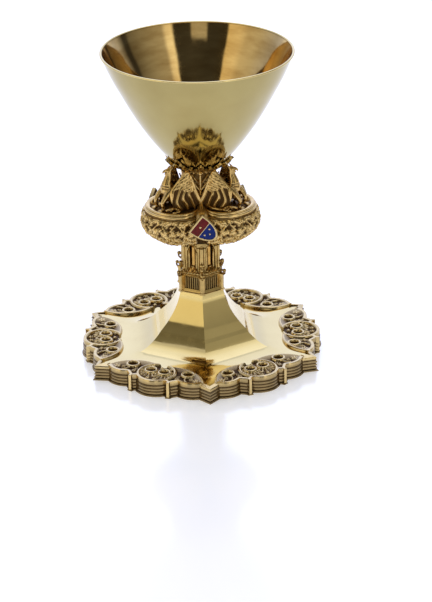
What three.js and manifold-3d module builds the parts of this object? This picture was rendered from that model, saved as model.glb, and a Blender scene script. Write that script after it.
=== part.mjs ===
// A gilt chalice. A flared bowl sits in a leafy calyx on a three-lobed knop that carries
// three winged beasts and three enamelled shields. The lower stem is a hexagonal tower in
// two stages, and the foot is a six-sided polished pyramid that sweeps out to a star with a
// stepped, lobed edge and six cast scroll plates.
//
// Frame: +Z up, the origin on the table under the axis, one star point of the foot towards
// -Y. An azimuth is measured from -Y towards +X. Lengths are in millimetres.

import * as THREE from "three";
import { mergeVertices } from "three/addons/utils/BufferGeometryUtils.js";
import Module from "manifold-3d";

const wasm = await Module();
wasm.setup();

// Driving dimensions

const SEAT_GAP = 0.3; // between castings that are screwed or soldered together

// Foot: heights of its layers and the star outline of its top edge
const SIDES = 6;
const FLANGE_HEIGHT = 1.4;
const FLANGE_REACH = 1.1; // how far the flange stands out past the edge
const RIM_HEIGHT = 8;
const RIM_BORE_RADIUS = 61;
const SHEET_THICKNESS = 1.2;
const PYRAMID_HEIGHT = 36.8; // from the flat of the foot up to the tower
const TIP_RADIUS = 84.5;
const TIP_HALF_WIDTH = 6.5;
const TIP_LENGTH = 7.2;
const LOBE_REACH = 79.8;
const LOBE_RADIUS = 14.2;
const BARB_REACH = 77.3;
const BARB_SIDE = 13.8;
const NOTCH_REACH = 72.3;
const NOTCH_SIDE = 18.4;
const SIDE_LOBE_BULGE = 2.2;

// Scroll plates
const PLATE_INSET = 0.6;
const PLATE_HEIGHT = 1.7;
const PLATE_FLOOR = 0.6;
const PLATE_FRAME = 2.2; // width of the frame around the scrolls
const PLATE_CUSP_REACH = 56;
const PLATE_CUP_REACH = 52.5;
const PLATE_CUP_SIDE = 13;
const RIDGE_HALF_WIDTH = 3.3; // polished strip left between two plates
const RING_REACH = 61;
const RING_SIDE = 20;
const RING_RADIUS = 4.6;
const RING_WALL = 1.4;
const VOLUTE_REACH = 64;
const VOLUTE_SIDE = 4.4;
const VOLUTE_RADIUS = 4;
const VOLUTE_WALL = 1.8;

// Tower: the gallery and the stem above it
const GALLERY_HEIGHT = 14;
const GALLERY_RADIUS = 16.5; // to the outside of a corner
const PILASTER_WIDTH = 2.8;
const PANEL_RECESS = 2.2;
const STEM_HEIGHT = 21;
const STEM_RADIUS = 14.5;
const COLUMN_RADIUS = 1.9;
const SHAFT_RADIUS = 1.5;
const CROCKET_RADIUS = 1.6;

// Knop
const LOBES = 3;
const KNOP_HEIGHT = 28.2;
const LOBE_OFFSET = 17; // lobe centre from the axis where the knop is widest
const KNOP_LOBE_RADIUS = 24.4;
const KNOP_LEAF_SWELL = 0.55; // leaves that stand out of the knop's sides
const RING_MOULDING = 1.6; // height of the moulding round the top of a lobe

// Beasts, each measured from the axis outwards along its lobe
const BEAST_HEAD_REACH = 24.5;
const BEAST_HEIGHT = 26.5;
const WING_THICKNESS = 1.6;

// Shields
const SHIELD_WIDTH = 15;
const SHIELD_LENGTH = 17;
const SHIELD_THICKNESS = 2;
const SHIELD_ROOT = 4; // side of the square stud behind it
const SHIELD_REACH = 33.4; // back of the shield from the axis
const SHIELD_DROP = 9.7; // its middle below the top of the knop
const SHIELD_SIDE = 1.7; // its middle beside the crease
const SHIELD_TURN = 51.5; // degrees

// Neck and calyx
const NECK_HEIGHT = 22;
const NECK_RADIUS = 7.6;
const NECK_LEAF = 4.8; // how far an upright leaf stands out of the neck
const NECK_TOP_RADIUS = 11.5;
const CALYX_THICKNESS = 1.1;
const CALYX_LEAVES = 10;

// Bowl
const BOWL_HEIGHT = 78.2;
const BOWL_RADIUS = 62.3;
const BOWL_WALL = 1;
const BOWL_STEPS = 8; // bands of facets between the bottom and the rim

// Heights of the seats, from the table up
const sheetTop = RIM_HEIGHT + SHEET_THICKNESS;
const galleryBase = sheetTop + PYRAMID_HEIGHT;
const stemBase = galleryBase + GALLERY_HEIGHT;
const knopBase = stemBase + STEM_HEIGHT;
const knopTop = knopBase + KNOP_HEIGHT;
const wellFloor = knopTop - RING_MOULDING;
const calyxBase = wellFloor + NECK_HEIGHT;
const bowlBase = calyxBase + 2;

const sector = (2 * Math.PI) / SIDES;
const lobeSector = (2 * Math.PI) / LOBES;

// Materials

const gilt = new THREE.MeshStandardMaterial({ color: 0xd9c48a, metalness: 1, roughness: 0.12 });
const agedGilt = new THREE.MeshStandardMaterial({ color: 0xa5854a, metalness: 1, roughness: 0.38 });
const enamel = new THREE.MeshStandardMaterial({ color: 0x822427, metalness: 0, roughness: 0.15 });

// Shared geometry helpers

const polar = (radius, azimuth, z = 0) =>
  new THREE.Vector3(radius * Math.sin(azimuth), -radius * Math.cos(azimuth), z);

function solidGeometry(positions, indices) {
  const geometry = new THREE.BufferGeometry();
  geometry.setAttribute("position", new THREE.Float32BufferAttribute(positions, 3));
  geometry.setIndex(indices);
  return geometry;
}

// Rings of equal length, lowest first and each anticlockwise from above, joined by quads and
// closed at both ends by a fan.
function loft(rings) {
  const count = rings[0].length;
  const positions = [];
  for (const ring of rings) for (const p of ring) positions.push(p.x, p.y, p.z);
  const indices = [];
  for (let level = 0; level + 1 < rings.length; level++) {
    for (let i = 0; i < count; i++) {
      const a = level * count + i;
      const b = level * count + ((i + 1) % count);
      indices.push(a, b, b + count, a, b + count, a + count);
    }
  }
  const addCap = (ring, first, flip) => {
    const middle = ring.reduce((sum, p) => sum.add(p), new THREE.Vector3()).divideScalar(count);
    const hub = positions.length / 3;
    positions.push(middle.x, middle.y, middle.z);
    for (let i = 0; i < count; i++) {
      const a = first + i;
      const b = first + ((i + 1) % count);
      if (flip) indices.push(hub, b, a);
      else indices.push(hub, a, b);
    }
  };
  addCap(rings[0], 0, true);
  addCap(rings[rings.length - 1], (rings.length - 1) * count, false);
  return solidGeometry(positions, indices);
}

const polygonRing = (sides, radius, z) =>
  Array.from({ length: sides }, (_, i) => polar(radius, (2 * Math.PI * i) / sides, z));

// A body of flat levels with a regular outline, each level [radius, z]
const turned = (sides, levels) => loft(levels.map(([radius, z]) => polygonRing(sides, radius, z)));

function extrudeOutline(outline, z0, z1, holes = []) {
  const shape = new THREE.Shape(outline);
  shape.holes = holes.map((hole) => new THREE.Path(hole));
  const geometry = new THREE.ExtrudeGeometry(shape, { depth: z1 - z0, bevelEnabled: false });
  return geometry.translate(0, 0, z0);
}

function toManifold(geometry) {
  const bare = geometry.clone();
  bare.deleteAttribute("normal");
  bare.deleteAttribute("uv");
  const merged = mergeVertices(bare, 1e-4);
  return new wasm.Manifold(
    new wasm.Mesh({
      numProp: 3,
      vertProperties: new Float32Array(merged.attributes.position.array),
      triVerts: new Uint32Array(merged.index.array),
    }),
  );
}

function fromManifold(manifold) {
  const mesh = manifold.getMesh();
  return solidGeometry(Array.from(mesh.vertProperties), Array.from(mesh.triVerts));
}

const fuse = (geometries) => geometries.map(toManifold).reduce((body, piece) => body.add(piece));

const chalice = new THREE.Group();

function place(name, geometry, material, parent = chalice) {
  const mesh = new THREE.Mesh(geometry, material);
  mesh.name = name;
  parent.add(mesh);
  return mesh;
}

// A group whose +X points outwards at an azimuth
function outwardGroup(azimuth) {
  const group = new THREE.Group();
  group.rotation.z = azimuth - Math.PI / 2;
  chalice.add(group);
  return group;
}

// Points of a circular arc through three points
function arcThrough(a, b, c, steps) {
  const d = 2 * (a.x * (b.y - c.y) + b.x * (c.y - a.y) + c.x * (a.y - b.y));
  const [a2, b2, c2] = [a, b, c].map((p) => p.lengthSq());
  const centre = new THREE.Vector2(
    (a2 * (b.y - c.y) + b2 * (c.y - a.y) + c2 * (a.y - b.y)) / d,
    (a2 * (c.x - b.x) + b2 * (a.x - c.x) + c2 * (b.x - a.x)) / d,
  );
  const radius = centre.distanceTo(a);
  const start = Math.atan2(a.y - centre.y, a.x - centre.x);
  const end = Math.atan2(c.y - centre.y, c.x - centre.x);
  let sweep = end - start;
  const clockwise = d < 0;
  if (clockwise && sweep > 0) sweep -= 2 * Math.PI;
  if (!clockwise && sweep < 0) sweep += 2 * Math.PI;
  return Array.from({ length: steps + 1 }, (_, i) => {
    const angle = start + (sweep * i) / steps;
    const spoke = new THREE.Vector2(Math.cos(angle), Math.sin(angle));
    return spoke.multiplyScalar(radius).add(centre);
  });
}

// Moves a closed anticlockwise outline outwards by a distance, corner by corner
function offsetOutline(outline, distance) {
  return outline.map((p, i) => {
    const before = outline[(i + outline.length - 1) % outline.length];
    const after = outline[(i + 1) % outline.length];
    const n1 = new THREE.Vector2(p.y - before.y, before.x - p.x).normalize();
    const n2 = new THREE.Vector2(after.y - p.y, p.x - after.x).normalize();
    const mitre = n1.add(n2).normalize();
    const reach = distance / Math.max(mitre.dot(n2), 0.5);
    return p.clone().addScaledVector(mitre, reach);
  });
}

// Foot outline
// Half of one sixth of the star, in plate coordinates: x outwards along the middle of the
// plate, y sideways. It runs from the middle lobe over the barb to the star point.

function edgeHalf() {
  const lobeCentre = new THREE.Vector2(LOBE_REACH - LOBE_RADIUS, 0);
  const barb = new THREE.Vector2(BARB_REACH, BARB_SIDE);
  const notch = new THREE.Vector2(NOTCH_REACH, NOTCH_SIDE);
  const lobeEnd = Math.asin((BARB_SIDE - 3.4) / LOBE_RADIUS);
  const lobe = [1, 2].map(
    (i) =>
      new THREE.Vector2(
        lobeCentre.x + LOBE_RADIUS * Math.cos((lobeEnd * i) / 2),
        LOBE_RADIUS * Math.sin((lobeEnd * i) / 2),
      ),
  );
  const along = new THREE.Vector2(Math.cos(sector / 2), Math.sin(sector / 2));
  const across = new THREE.Vector2(along.y, -along.x);
  const tipRoot = along
    .clone()
    .multiplyScalar(TIP_RADIUS - TIP_LENGTH)
    .addScaledVector(across, TIP_HALF_WIDTH);
  const run = tipRoot.clone().sub(notch);
  const out = new THREE.Vector2(run.y, -run.x).normalize();
  const sideLobe = notch.clone().lerp(tipRoot, 0.5).addScaledVector(out, SIDE_LOBE_BULGE);
  return [...lobe, barb, notch, sideLobe, tipRoot];
}

const mirrored = (points) => points.map((p) => new THREE.Vector2(p.x, -p.y)).reverse();

// The whole star, anticlockwise from above, in the object's frame
function starOutline() {
  const half = edgeHalf();
  const outline = [];
  for (let i = 0; i < SIDES; i++) {
    const azimuth = (i + 0.5) * sector;
    const turn = azimuth - Math.PI / 2;
    const tip = new THREE.Vector2(TIP_RADIUS, 0).rotateAround(new THREE.Vector2(), -sector / 2);
    const sixth = [tip, ...mirrored(half), new THREE.Vector2(LOBE_REACH, 0), ...half];
    for (const p of sixth) outline.push(p.clone().rotateAround(new THREE.Vector2(), turn));
  }
  return outline;
}

// The six-sided pyramid: ridge radius and height over the flat of the foot, as shares of the
// pyramid's height and of the tower's radius at its top.
function pyramidLevels(inset) {
  const shares = [
    [3.06, 0],
    [2.78, 0.04],
    [2.28, 0.185],
    [1.99, 0.305],
    [1.43, 0.565],
    [1.09, 0.837],
    [1, 1],
  ];
  const base = sheetTop - inset;
  const ring = ([reach, rise]) => [reach * GALLERY_RADIUS - inset, base + rise * PYRAMID_HEIGHT];
  return shares.map(ring);
}

function makeFoot() {
  const outer = pyramidLevels(0);
  const inner = pyramidLevels(SHEET_THICKNESS);
  outer.unshift([outer[0][0], RIM_HEIGHT]);
  inner.unshift([inner[0][0], RIM_HEIGHT - 1]);
  const body = fuse([extrudeOutline(starOutline(), RIM_HEIGHT, sheetTop), turned(SIDES, outer)]);
  return fromManifold(body.subtract(toManifold(turned(SIDES, inner))));
}

function makeFootRim() {
  const star = starOutline();
  const bore = turned(18, [[RIM_BORE_RADIUS, -1], [RIM_BORE_RADIUS, RIM_HEIGHT + 1]]);
  const layers = [
    extrudeOutline(offsetOutline(star, FLANGE_REACH), 0, FLANGE_HEIGHT),
    extrudeOutline(star, 0, RIM_HEIGHT),
  ];
  return fromManifold(fuse(layers).subtract(toManifold(bore)));
}

// Scroll plates, in plate coordinates

function plateOutline() {
  const half = edgeHalf();
  const cusp = new THREE.Vector2(PLATE_CUSP_REACH, 0);
  const cup = new THREE.Vector2(PLATE_CUP_REACH, PLATE_CUP_SIDE);
  const reach = TIP_RADIUS - TIP_LENGTH;
  const horn = new THREE.Vector2(
    reach * Math.cos(sector / 2) + RIDGE_HALF_WIDTH * Math.sin(sector / 2),
    reach * Math.sin(sector / 2) - RIDGE_HALF_WIDTH * Math.cos(sector / 2),
  );
  const inner = arcThrough(horn, cup, cusp, 5);
  const side = [...half, ...inner];
  const outline = [new THREE.Vector2(LOBE_REACH, 0), ...side, ...mirrored(side).slice(1)];
  return offsetOutline(outline, -PLATE_INSET);
}

function circle(x, y, radius, sides) {
  return Array.from({ length: sides }, (_, i) => {
    const angle = (2 * Math.PI * (i + 0.5)) / sides;
    return new THREE.Vector2(x + radius * Math.cos(angle), y + radius * Math.sin(angle));
  });
}

function annulus(x, y, radius, wall, z0, z1, sides) {
  const hole = circle(x, y, radius - wall, sides);
  return extrudeOutline(circle(x, y, radius, sides), z0, z1, [hole]);
}

// A field between the frame and the medallion, on one side of the plate
function crescentField(side) {
  const flip = (x, y) => new THREE.Vector2(x, side * y);
  const field = [
    flip(RING_REACH - 6.3, RING_SIDE - 8),
    flip(RING_REACH - RING_RADIUS - 0.6, RING_SIDE + 2),
    flip(RING_REACH - 0.5, RING_SIDE + 8),
    flip(RING_REACH + 4, RING_SIDE + 12),
    flip(RING_REACH + 7.5, RING_SIDE + 11),
    flip(RING_REACH + 9, RING_SIDE + 4),
    flip(RING_REACH + 8, RING_SIDE - 2),
    flip(RING_REACH - 1.5, RING_SIDE - 7),
  ];
  return field;
}

function makeScrollPlate() {
  const z0 = sheetTop + SEAT_GAP;
  const floor = z0 + PLATE_FLOOR;
  const top = z0 + PLATE_HEIGHT;
  const outline = plateOutline();
  const fieldReach = (PLATE_CUSP_REACH + LOBE_REACH) / 2;
  const fieldRadius = (LOBE_REACH - PLATE_CUSP_REACH) / 2 - PLATE_FRAME - PLATE_INSET;
  const fields = [crescentField(1), crescentField(-1), circle(fieldReach, 0, fieldRadius, 8)];
  const plate = fields.reduce(
    (body, field) => body.subtract(toManifold(extrudeOutline(field, floor, top + 1))),
    toManifold(extrudeOutline(outline, z0, top)),
  );
  const ringTop = top - 0.3;
  const scrolls = [1, -1].flatMap((side) => [
    annulus(RING_REACH, side * RING_SIDE, RING_RADIUS, RING_WALL, z0, ringTop, 6),
    annulus(VOLUTE_REACH, side * VOLUTE_SIDE, VOLUTE_RADIUS, VOLUTE_WALL, z0, ringTop, 5),
  ]);
  return fromManifold(plate.add(fuse(scrolls)));
}

// Tower

function box(width, depth, height, x, y, z) {
  return new THREE.BoxGeometry(width, depth, height).translate(x, y, z);
}

const turnedTo = (geometry, azimuth) => geometry.rotateZ(azimuth - Math.PI / 2);

function crocket(reach, z, azimuth) {
  const ball = new THREE.IcosahedronGeometry(CROCKET_RADIUS, 0);
  return turnedTo(ball.translate(reach, 0, z), azimuth);
}

function makeGallery() {
  const core = GALLERY_RADIUS - PANEL_RECESS;
  const plinth = 2.4;
  const cornice = 1.8;
  const z1 = galleryBase + GALLERY_HEIGHT;
  const pieces = [
    turned(SIDES, [[core, galleryBase], [core, z1]]),
    turned(SIDES, [
      [GALLERY_RADIUS, galleryBase],
      [GALLERY_RADIUS, galleryBase + plinth * 0.6],
      [core, galleryBase + plinth],
    ]),
    turned(SIDES, [
      [core, z1 - cornice - 0.8],
      [GALLERY_RADIUS - 0.4, z1 - cornice],
      [GALLERY_RADIUS - 0.4, z1],
    ]),
  ];
  const faceReach = core * Math.cos(sector / 2);
  for (let i = 0; i < SIDES; i++) {
    const corner = i * sector;
    const depth = PANEL_RECESS + 2;
    const middle = GALLERY_RADIUS - depth / 2;
    const height = GALLERY_HEIGHT - 0.6;
    const post = box(depth, PILASTER_WIDTH, height, middle, 0, galleryBase + height / 2);
    pieces.push(turnedTo(post, corner));
    pieces.push(crocket(GALLERY_RADIUS + 0.9, z1 - 2.5, corner));
    for (const step of [-1, 1]) {
      const ribMiddle = galleryBase + GALLERY_HEIGHT / 2;
      const rib = box(1.6, 1.2, GALLERY_HEIGHT - 2, faceReach, step * 2.2, ribMiddle);
      pieces.push(turnedTo(rib, corner + sector / 2));
    }
  }
  return fromManifold(fuse(pieces));
}

function makeStem() {
  const core = STEM_RADIUS - 3.4;
  const columnReach = STEM_RADIUS - COLUMN_RADIUS;
  const skirt = 3.6;
  const head = 3;
  const pieces = [
    turned(SIDES, [[core, stemBase], [core, knopBase]]),
    turned(SIDES, [
      [STEM_RADIUS + 0.6, stemBase],
      [STEM_RADIUS + 0.6, stemBase + 0.8],
      [core, stemBase + skirt],
    ]),
    turned(SIDES, [
      [core, knopBase - head],
      [STEM_RADIUS, knopBase - head / 2],
      [STEM_RADIUS, knopBase],
    ]),
  ];
  for (let i = 0; i < SIDES; i++) {
    const corner = i * sector;
    const column = turned(6, [[COLUMN_RADIUS, stemBase], [COLUMN_RADIUS, knopBase]]);
    pieces.push(turnedTo(column.translate(columnReach, 0, 0), corner));
    const shaft = turned(4, [[SHAFT_RADIUS, stemBase], [SHAFT_RADIUS, knopBase]]);
    pieces.push(turnedTo(shaft.translate(core * Math.cos(sector / 2), 0, 0), corner + sector / 2));
    pieces.push(crocket(STEM_RADIUS + 1.1, stemBase + 7, corner));
  }
  return fromManifold(fuse(pieces));
}

// Knop: three round lobes drawn together, narrowed towards the stem

const KNOP_SHARES = [
  // share of the knop's height, share of its full width
  [0, 0.42],
  [0.06, 0.6],
  [0.18, 0.8],
  [0.34, 0.92],
  [0.52, 0.985],
  [0.68, 1],
  [0.88, 0.93],
];

// Radius of the trefoil at an azimuth, for lobes of a radius at an offset from the axis
function trefoil(azimuth, offset, radius) {
  const turn = ((azimuth % lobeSector) + lobeSector) % lobeSector;
  const fromLobe = turn - lobeSector / 2;
  const side = offset * Math.sin(fromLobe);
  return offset * Math.cos(fromLobe) + Math.sqrt(Math.max(radius * radius - side * side, 0));
}

function trefoilRing(offset, radius, z, swell = () => 0) {
  const count = 42;
  return Array.from({ length: count }, (_, i) => {
    const azimuth = (2 * Math.PI * i) / count;
    return polar(trefoil(azimuth, offset, radius) + swell(azimuth), azimuth, z);
  });
}

function makeKnop() {
  const rings = KNOP_SHARES.map(([rise, width], level) => {
    const leafy = level > 0 ? KNOP_LEAF_SWELL : 0;
    const phase = level % 2 ? 0 : Math.PI;
    const swell = (azimuth) => leafy * Math.cos(12 * azimuth + phase);
    const z = knopBase + rise * KNOP_HEIGHT;
    return trefoilRing(LOBE_OFFSET * width, KNOP_LOBE_RADIUS * width, z, swell);
  });
  const mouldingRadius = KNOP_LOBE_RADIUS * 0.83;
  rings.push(trefoilRing(LOBE_OFFSET, mouldingRadius, knopTop - 0.6));
  rings.push(trefoilRing(LOBE_OFFSET, mouldingRadius - 1, knopTop));
  rings.push(trefoilRing(LOBE_OFFSET, mouldingRadius - 2, knopTop));
  rings.push(trefoilRing(LOBE_OFFSET, mouldingRadius - 2.6, wellFloor));
  return loft(rings);
}

// Beasts: +X outwards, +Y to the left of the beast, heights over the floor of the lobe

function limb(points, radii, sides) {
  const rings = points.map((p, i) => {
    const before = points[Math.max(i - 1, 0)];
    const after = points[Math.min(i + 1, points.length - 1)];
    const along = after.clone().sub(before).normalize();
    const across = new THREE.Vector3(0, 1, 0).cross(along).normalize();
    const up = along.clone().cross(across);
    const [wide, deep] = Array.isArray(radii[i]) ? radii[i] : [radii[i], radii[i]];
    return Array.from({ length: sides }, (_, k) => {
      const angle = (2 * Math.PI * k) / sides;
      return p
        .clone()
        .addScaledVector(across, deep * Math.cos(angle))
        .addScaledVector(up, wide * Math.sin(angle));
    });
  });
  return loft(rings);
}

// One wing: a triangle of feathers with a rounded tip, thin along the beast's left. Each
// point is back from the shoulder and up from the floor, as shares of the beast's height.
function wing(side) {
  const outline = [
    [0.075, 0.47],
    [-0.075, 0.58],
    [-0.257, 0.8],
    [-0.34, 0.93],
    [-0.408, 0.94],
    [-0.475, 0.82],
    [-0.551, 0.55],
    [-0.604, 0.26],
    [-0.619, 0.06],
    [-0.453, 0.02],
    [0.015, 0.16],
  ].map(([back, up]) => new THREE.Vector2(back * BEAST_HEIGHT, up * BEAST_HEIGHT));
  const sheet = extrudeOutline(outline.reverse(), -WING_THICKNESS / 2, WING_THICKNESS / 2);
  sheet.rotateX(Math.PI / 2);
  sheet.rotateZ(-side * THREE.MathUtils.degToRad(13));
  return sheet.translate(BEAST_HEAD_REACH + 0.057 * BEAST_HEIGHT, side * 0.174 * BEAST_HEIGHT, 0);
}

// Places are shares of the beast's height: forward of the head's reach, to its left, and up.
// So are the half-widths of a limb, some of them [upright, sideways].
function makeBeast() {
  const h = BEAST_HEIGHT;
  const part = (places, widths, sides) =>
    limb(
      places.map(([x, y, z]) => new THREE.Vector3(BEAST_HEAD_REACH + x * h, y * h, z * h)),
      widths.map((width) => (Array.isArray(width) ? width.map((w) => w * h) : width * h)),
      sides,
    );
  const trunk = part(
    [[-0.453, 0, 0], [-0.302, 0, 0.12], [-0.038, 0, 0.34], [0.098, 0, 0.52], [0.023, 0, 0.72],
      [-0.038, 0, 0.9]],
    [[0.158, 0.151], [0.226, 0.204], [0.204, 0.189], [0.166, 0.136], [0.102, 0.091],
      [0.083, 0.075]],
    6,
  );
  const head = part(
    [[-0.151, 0, 0.91], [-0.045, 0, 0.95], [0.091, 0, 1]],
    [0.049, 0.087, 0.026],
    5,
  );
  const crest = part([[-0.06, 0, 0.93], [-0.128, 0, 1.03]], [0.045, 0.015], 4);
  const legs = [1, -1].flatMap((side) => [
    part(
      [[0.038, side * 0.098, 0.44], [0.272, side * 0.113, 0.3], [0.272, side * 0.121, 0]],
      [0.075, 0.049, 0.057],
      4,
    ),
    part(
      [[-0.34, side * 0.151, 0.12], [0, side * 0.211, 0.18], [0.136, side * 0.219, 0]],
      [0.113, 0.075, 0.057],
      4,
    ),
  ]);
  const below = box(3 * h, 3 * h, h, BEAST_HEAD_REACH, 0, SEAT_GAP - h / 2);
  const body = fuse([trunk, head, crest, wing(1), wing(-1), ...legs]);
  return fromManifold(body.subtract(toManifold(below))).translate(0, 0, wellFloor);
}

// Shields: a heater shape, flat top edge and two curved sides to a point

function shieldOutline() {
  const side = (sign) =>
    [0, 0.25, 0.5, 0.75].map((t) => {
      const width = SHIELD_WIDTH * Math.sqrt(1 - t ** 2.4);
      return new THREE.Vector2((sign * width) / 2, SHIELD_LENGTH * (0.5 - t));
    });
  return [...side(-1), new THREE.Vector2(0, -SHIELD_LENGTH / 2), ...side(1).reverse()];
}

function makeShield() {
  const plate = extrudeOutline(shieldOutline(), 0, SHIELD_THICKNESS);
  plate.rotateZ(THREE.MathUtils.degToRad(SHIELD_TURN));
  const rootDepth = SHIELD_REACH - creaseReach(SHIELD_ROOT / 2) - SEAT_GAP;
  const root = box(SHIELD_ROOT, SHIELD_ROOT, rootDepth + 1, -SHIELD_SIDE, 0, (1 - rootDepth) / 2);
  const body = fromManifold(fuse([plate, root]));
  body.rotateX(Math.PI / 2);
  body.rotateZ(Math.PI / 2);
  return body.translate(SHIELD_REACH, SHIELD_SIDE, knopTop - SHIELD_DROP);
}

// How far out the knop's widest level lies, at a distance to the side of a crease
function creaseReach(side) {
  const across = LOBE_OFFSET * Math.sin(lobeSector / 2) - side;
  const out = LOBE_OFFSET * Math.cos(lobeSector / 2);
  return out + Math.sqrt(KNOP_LOBE_RADIUS ** 2 - across ** 2) + KNOP_LEAF_SWELL;
}

// Neck: a slender core with three upright leaves over the creases

function neckRing(core, leaf, z) {
  const count = 30;
  return Array.from({ length: count }, (_, i) => {
    const azimuth = (2 * Math.PI * i) / count;
    const blade = Math.max(0, Math.cos(LOBES * azimuth)) ** 4;
    return polar(core + leaf * blade, azimuth, z);
  });
}

function makeNeck() {
  const z = (share) => wellFloor + SEAT_GAP + share * (NECK_HEIGHT - SEAT_GAP);
  const core = NECK_RADIUS;
  return loft([
    neckRing(core + 0.6, NECK_LEAF * 0.9, z(0)),
    neckRing(core, NECK_LEAF * 1.1, z(0.12)),
    neckRing(core, NECK_LEAF * 0.75, z(0.4)),
    neckRing(core + 0.8, NECK_LEAF * 0.6, z(0.75)),
    neckRing(NECK_TOP_RADIUS, 0.4, z(1)),
  ]);
}

// Bowl

// Outside of the bowl: share of the rim radius and of the height, from the bottom up
const BOWL_SHARES = [
  [0, 0],
  [0.16, 0.012],
  [0.27, 0.05],
  [0.37, 0.142],
  [0.45, 0.223],
  [0.552, 0.318],
  [0.63, 0.403],
  [0.685, 0.492],
  [0.751, 0.582],
  [0.812, 0.67],
  [0.907, 0.82],
  [1, 1],
];

const bowlCurve = new THREE.SplineCurve(
  BOWL_SHARES.map(([r, z]) => new THREE.Vector2(r * BOWL_RADIUS, bowlBase + z * BOWL_HEIGHT)),
);

// Point of the bowl's profile at a share of the curve, moved outwards by a distance
function bowlProfile(share, distance) {
  const point = bowlCurve.getPoint(share);
  const tangent = bowlCurve.getTangent(share);
  point.addScaledVector(new THREE.Vector2(tangent.y, -tangent.x), distance);
  return share === 0 ? new THREE.Vector2(0, point.y) : point;
}

function makeBowl() {
  const shares = Array.from({ length: BOWL_STEPS + 1 }, (_, i) => i / BOWL_STEPS);
  const outside = shares.map((share) => bowlProfile(share, 0));
  const inside = shares.map((share) => bowlProfile(share, -BOWL_WALL));
  const rimHeight = bowlBase + BOWL_HEIGHT;
  inside[BOWL_STEPS].set(BOWL_RADIUS - BOWL_WALL, rimHeight);
  const lathe = new THREE.LatheGeometry([...outside, ...inside.reverse()], 38);
  return fromManifold(toManifold(lathe.rotateX(Math.PI / 2)));
}

// Calyx: a cup of pointed leaves around the bottom of the bowl

function makeCalyx() {
  const count = CALYX_LEAVES * 4;
  const tipShare = 2 / BOWL_STEPS; // how far up the bowl's curve the leaves reach
  const ring = (share, distance, flare) =>
    Array.from({ length: count }, (_, i) => {
      const azimuth = (2 * Math.PI * i) / count;
      const leaf = Math.abs(Math.cos((CALYX_LEAVES / 2) * azimuth));
      const reach = share * (1 - flare * 0.13 * (1 - leaf));
      const point = bowlProfile(reach, distance * (1 + flare * 0.5 * leaf));
      return polar(point.x, azimuth, point.y);
    });
  const flat = (radius, z) => polygonRing(count, radius, z);
  return loft([
    flat(NECK_TOP_RADIUS, calyxBase),
    ring(1.35 / BOWL_STEPS, SEAT_GAP + CALYX_THICKNESS * 1.6, 0),
    ring(tipShare, SEAT_GAP + CALYX_THICKNESS, 1),
    ring(tipShare, SEAT_GAP, 0.9),
    ring(1 / BOWL_STEPS, SEAT_GAP, 0),
    ring(0.1 / BOWL_STEPS, SEAT_GAP, 0),
  ]);
}

// Assembly

place("foot_rim", makeFootRim(), agedGilt);
place("foot", makeFoot(), gilt);
for (let i = 0; i < SIDES; i++) {
  const group = outwardGroup((i + 0.5) * sector);
  place(`scroll_plate_${i + 1}`, makeScrollPlate(), agedGilt, group);
}
place("gallery", makeGallery(), agedGilt);
place("stem", makeStem(), agedGilt);
place("knop", makeKnop(), agedGilt);
for (let i = 0; i < LOBES; i++) {
  place(`beast_${i + 1}`, makeBeast(), agedGilt, outwardGroup((i + 0.5) * lobeSector));
  place(`shield_${i + 1}`, makeShield(), enamel, outwardGroup(i * lobeSector));
}
place("neck", makeNeck(), agedGilt);
place("calyx", makeCalyx(), agedGilt);
place("bowl", makeBowl(), gilt);

export default chalice;
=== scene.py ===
import math

import bpy
import numpy as np
from mathutils import Matrix, Vector


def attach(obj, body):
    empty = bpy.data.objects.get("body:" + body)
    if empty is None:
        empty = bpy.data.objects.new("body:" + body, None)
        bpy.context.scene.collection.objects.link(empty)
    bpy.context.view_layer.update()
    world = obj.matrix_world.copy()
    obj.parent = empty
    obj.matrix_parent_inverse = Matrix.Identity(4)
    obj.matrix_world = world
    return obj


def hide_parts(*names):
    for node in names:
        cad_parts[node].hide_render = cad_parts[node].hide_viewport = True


MM = 0.001

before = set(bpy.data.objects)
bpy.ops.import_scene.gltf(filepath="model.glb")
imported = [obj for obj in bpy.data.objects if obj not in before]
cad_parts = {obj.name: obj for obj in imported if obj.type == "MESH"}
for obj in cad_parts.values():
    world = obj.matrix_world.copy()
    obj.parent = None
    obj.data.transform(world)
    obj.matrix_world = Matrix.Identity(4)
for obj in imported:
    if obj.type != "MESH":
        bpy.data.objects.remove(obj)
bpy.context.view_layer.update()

# Camera, fitted to the photograph

CAMERA_PLACE = (-0.0819, -1.4643, 0.6961)
CAMERA_TARGET = (0.00986, -0.00055, 0.0344)
CAMERA_ROLL = -0.0143
CAMERA_LENS = 143.6
SENSOR = 36.0


def make_camera():
    place, target = Vector(CAMERA_PLACE), Vector(CAMERA_TARGET)
    forward = (target - place).normalized()
    right = forward.cross(Vector((0, 0, 1))).normalized()
    up = right.cross(forward)
    cos, sin = math.cos(CAMERA_ROLL), math.sin(CAMERA_ROLL)
    rolled_right = cos * right + sin * up
    rolled_up = -sin * right + cos * up
    data = bpy.data.cameras.new("camera")
    data.sensor_fit = "AUTO"
    data.sensor_width = SENSOR
    data.lens = CAMERA_LENS
    data.clip_end = 50
    camera = bpy.data.objects.new("camera", data)
    bpy.context.scene.collection.objects.link(camera)
    turn = Matrix((rolled_right, rolled_up, -forward)).transposed()
    camera.matrix_world = Matrix.Translation(place) @ turn.to_4x4()
    bpy.context.scene.camera = camera


make_camera()

# Sizes in millimetres, as in the part's source

SIDES = 6
LOBES = 3
SECTOR = 2 * math.pi / SIDES
LOBE_SECTOR = 2 * math.pi / LOBES

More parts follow.
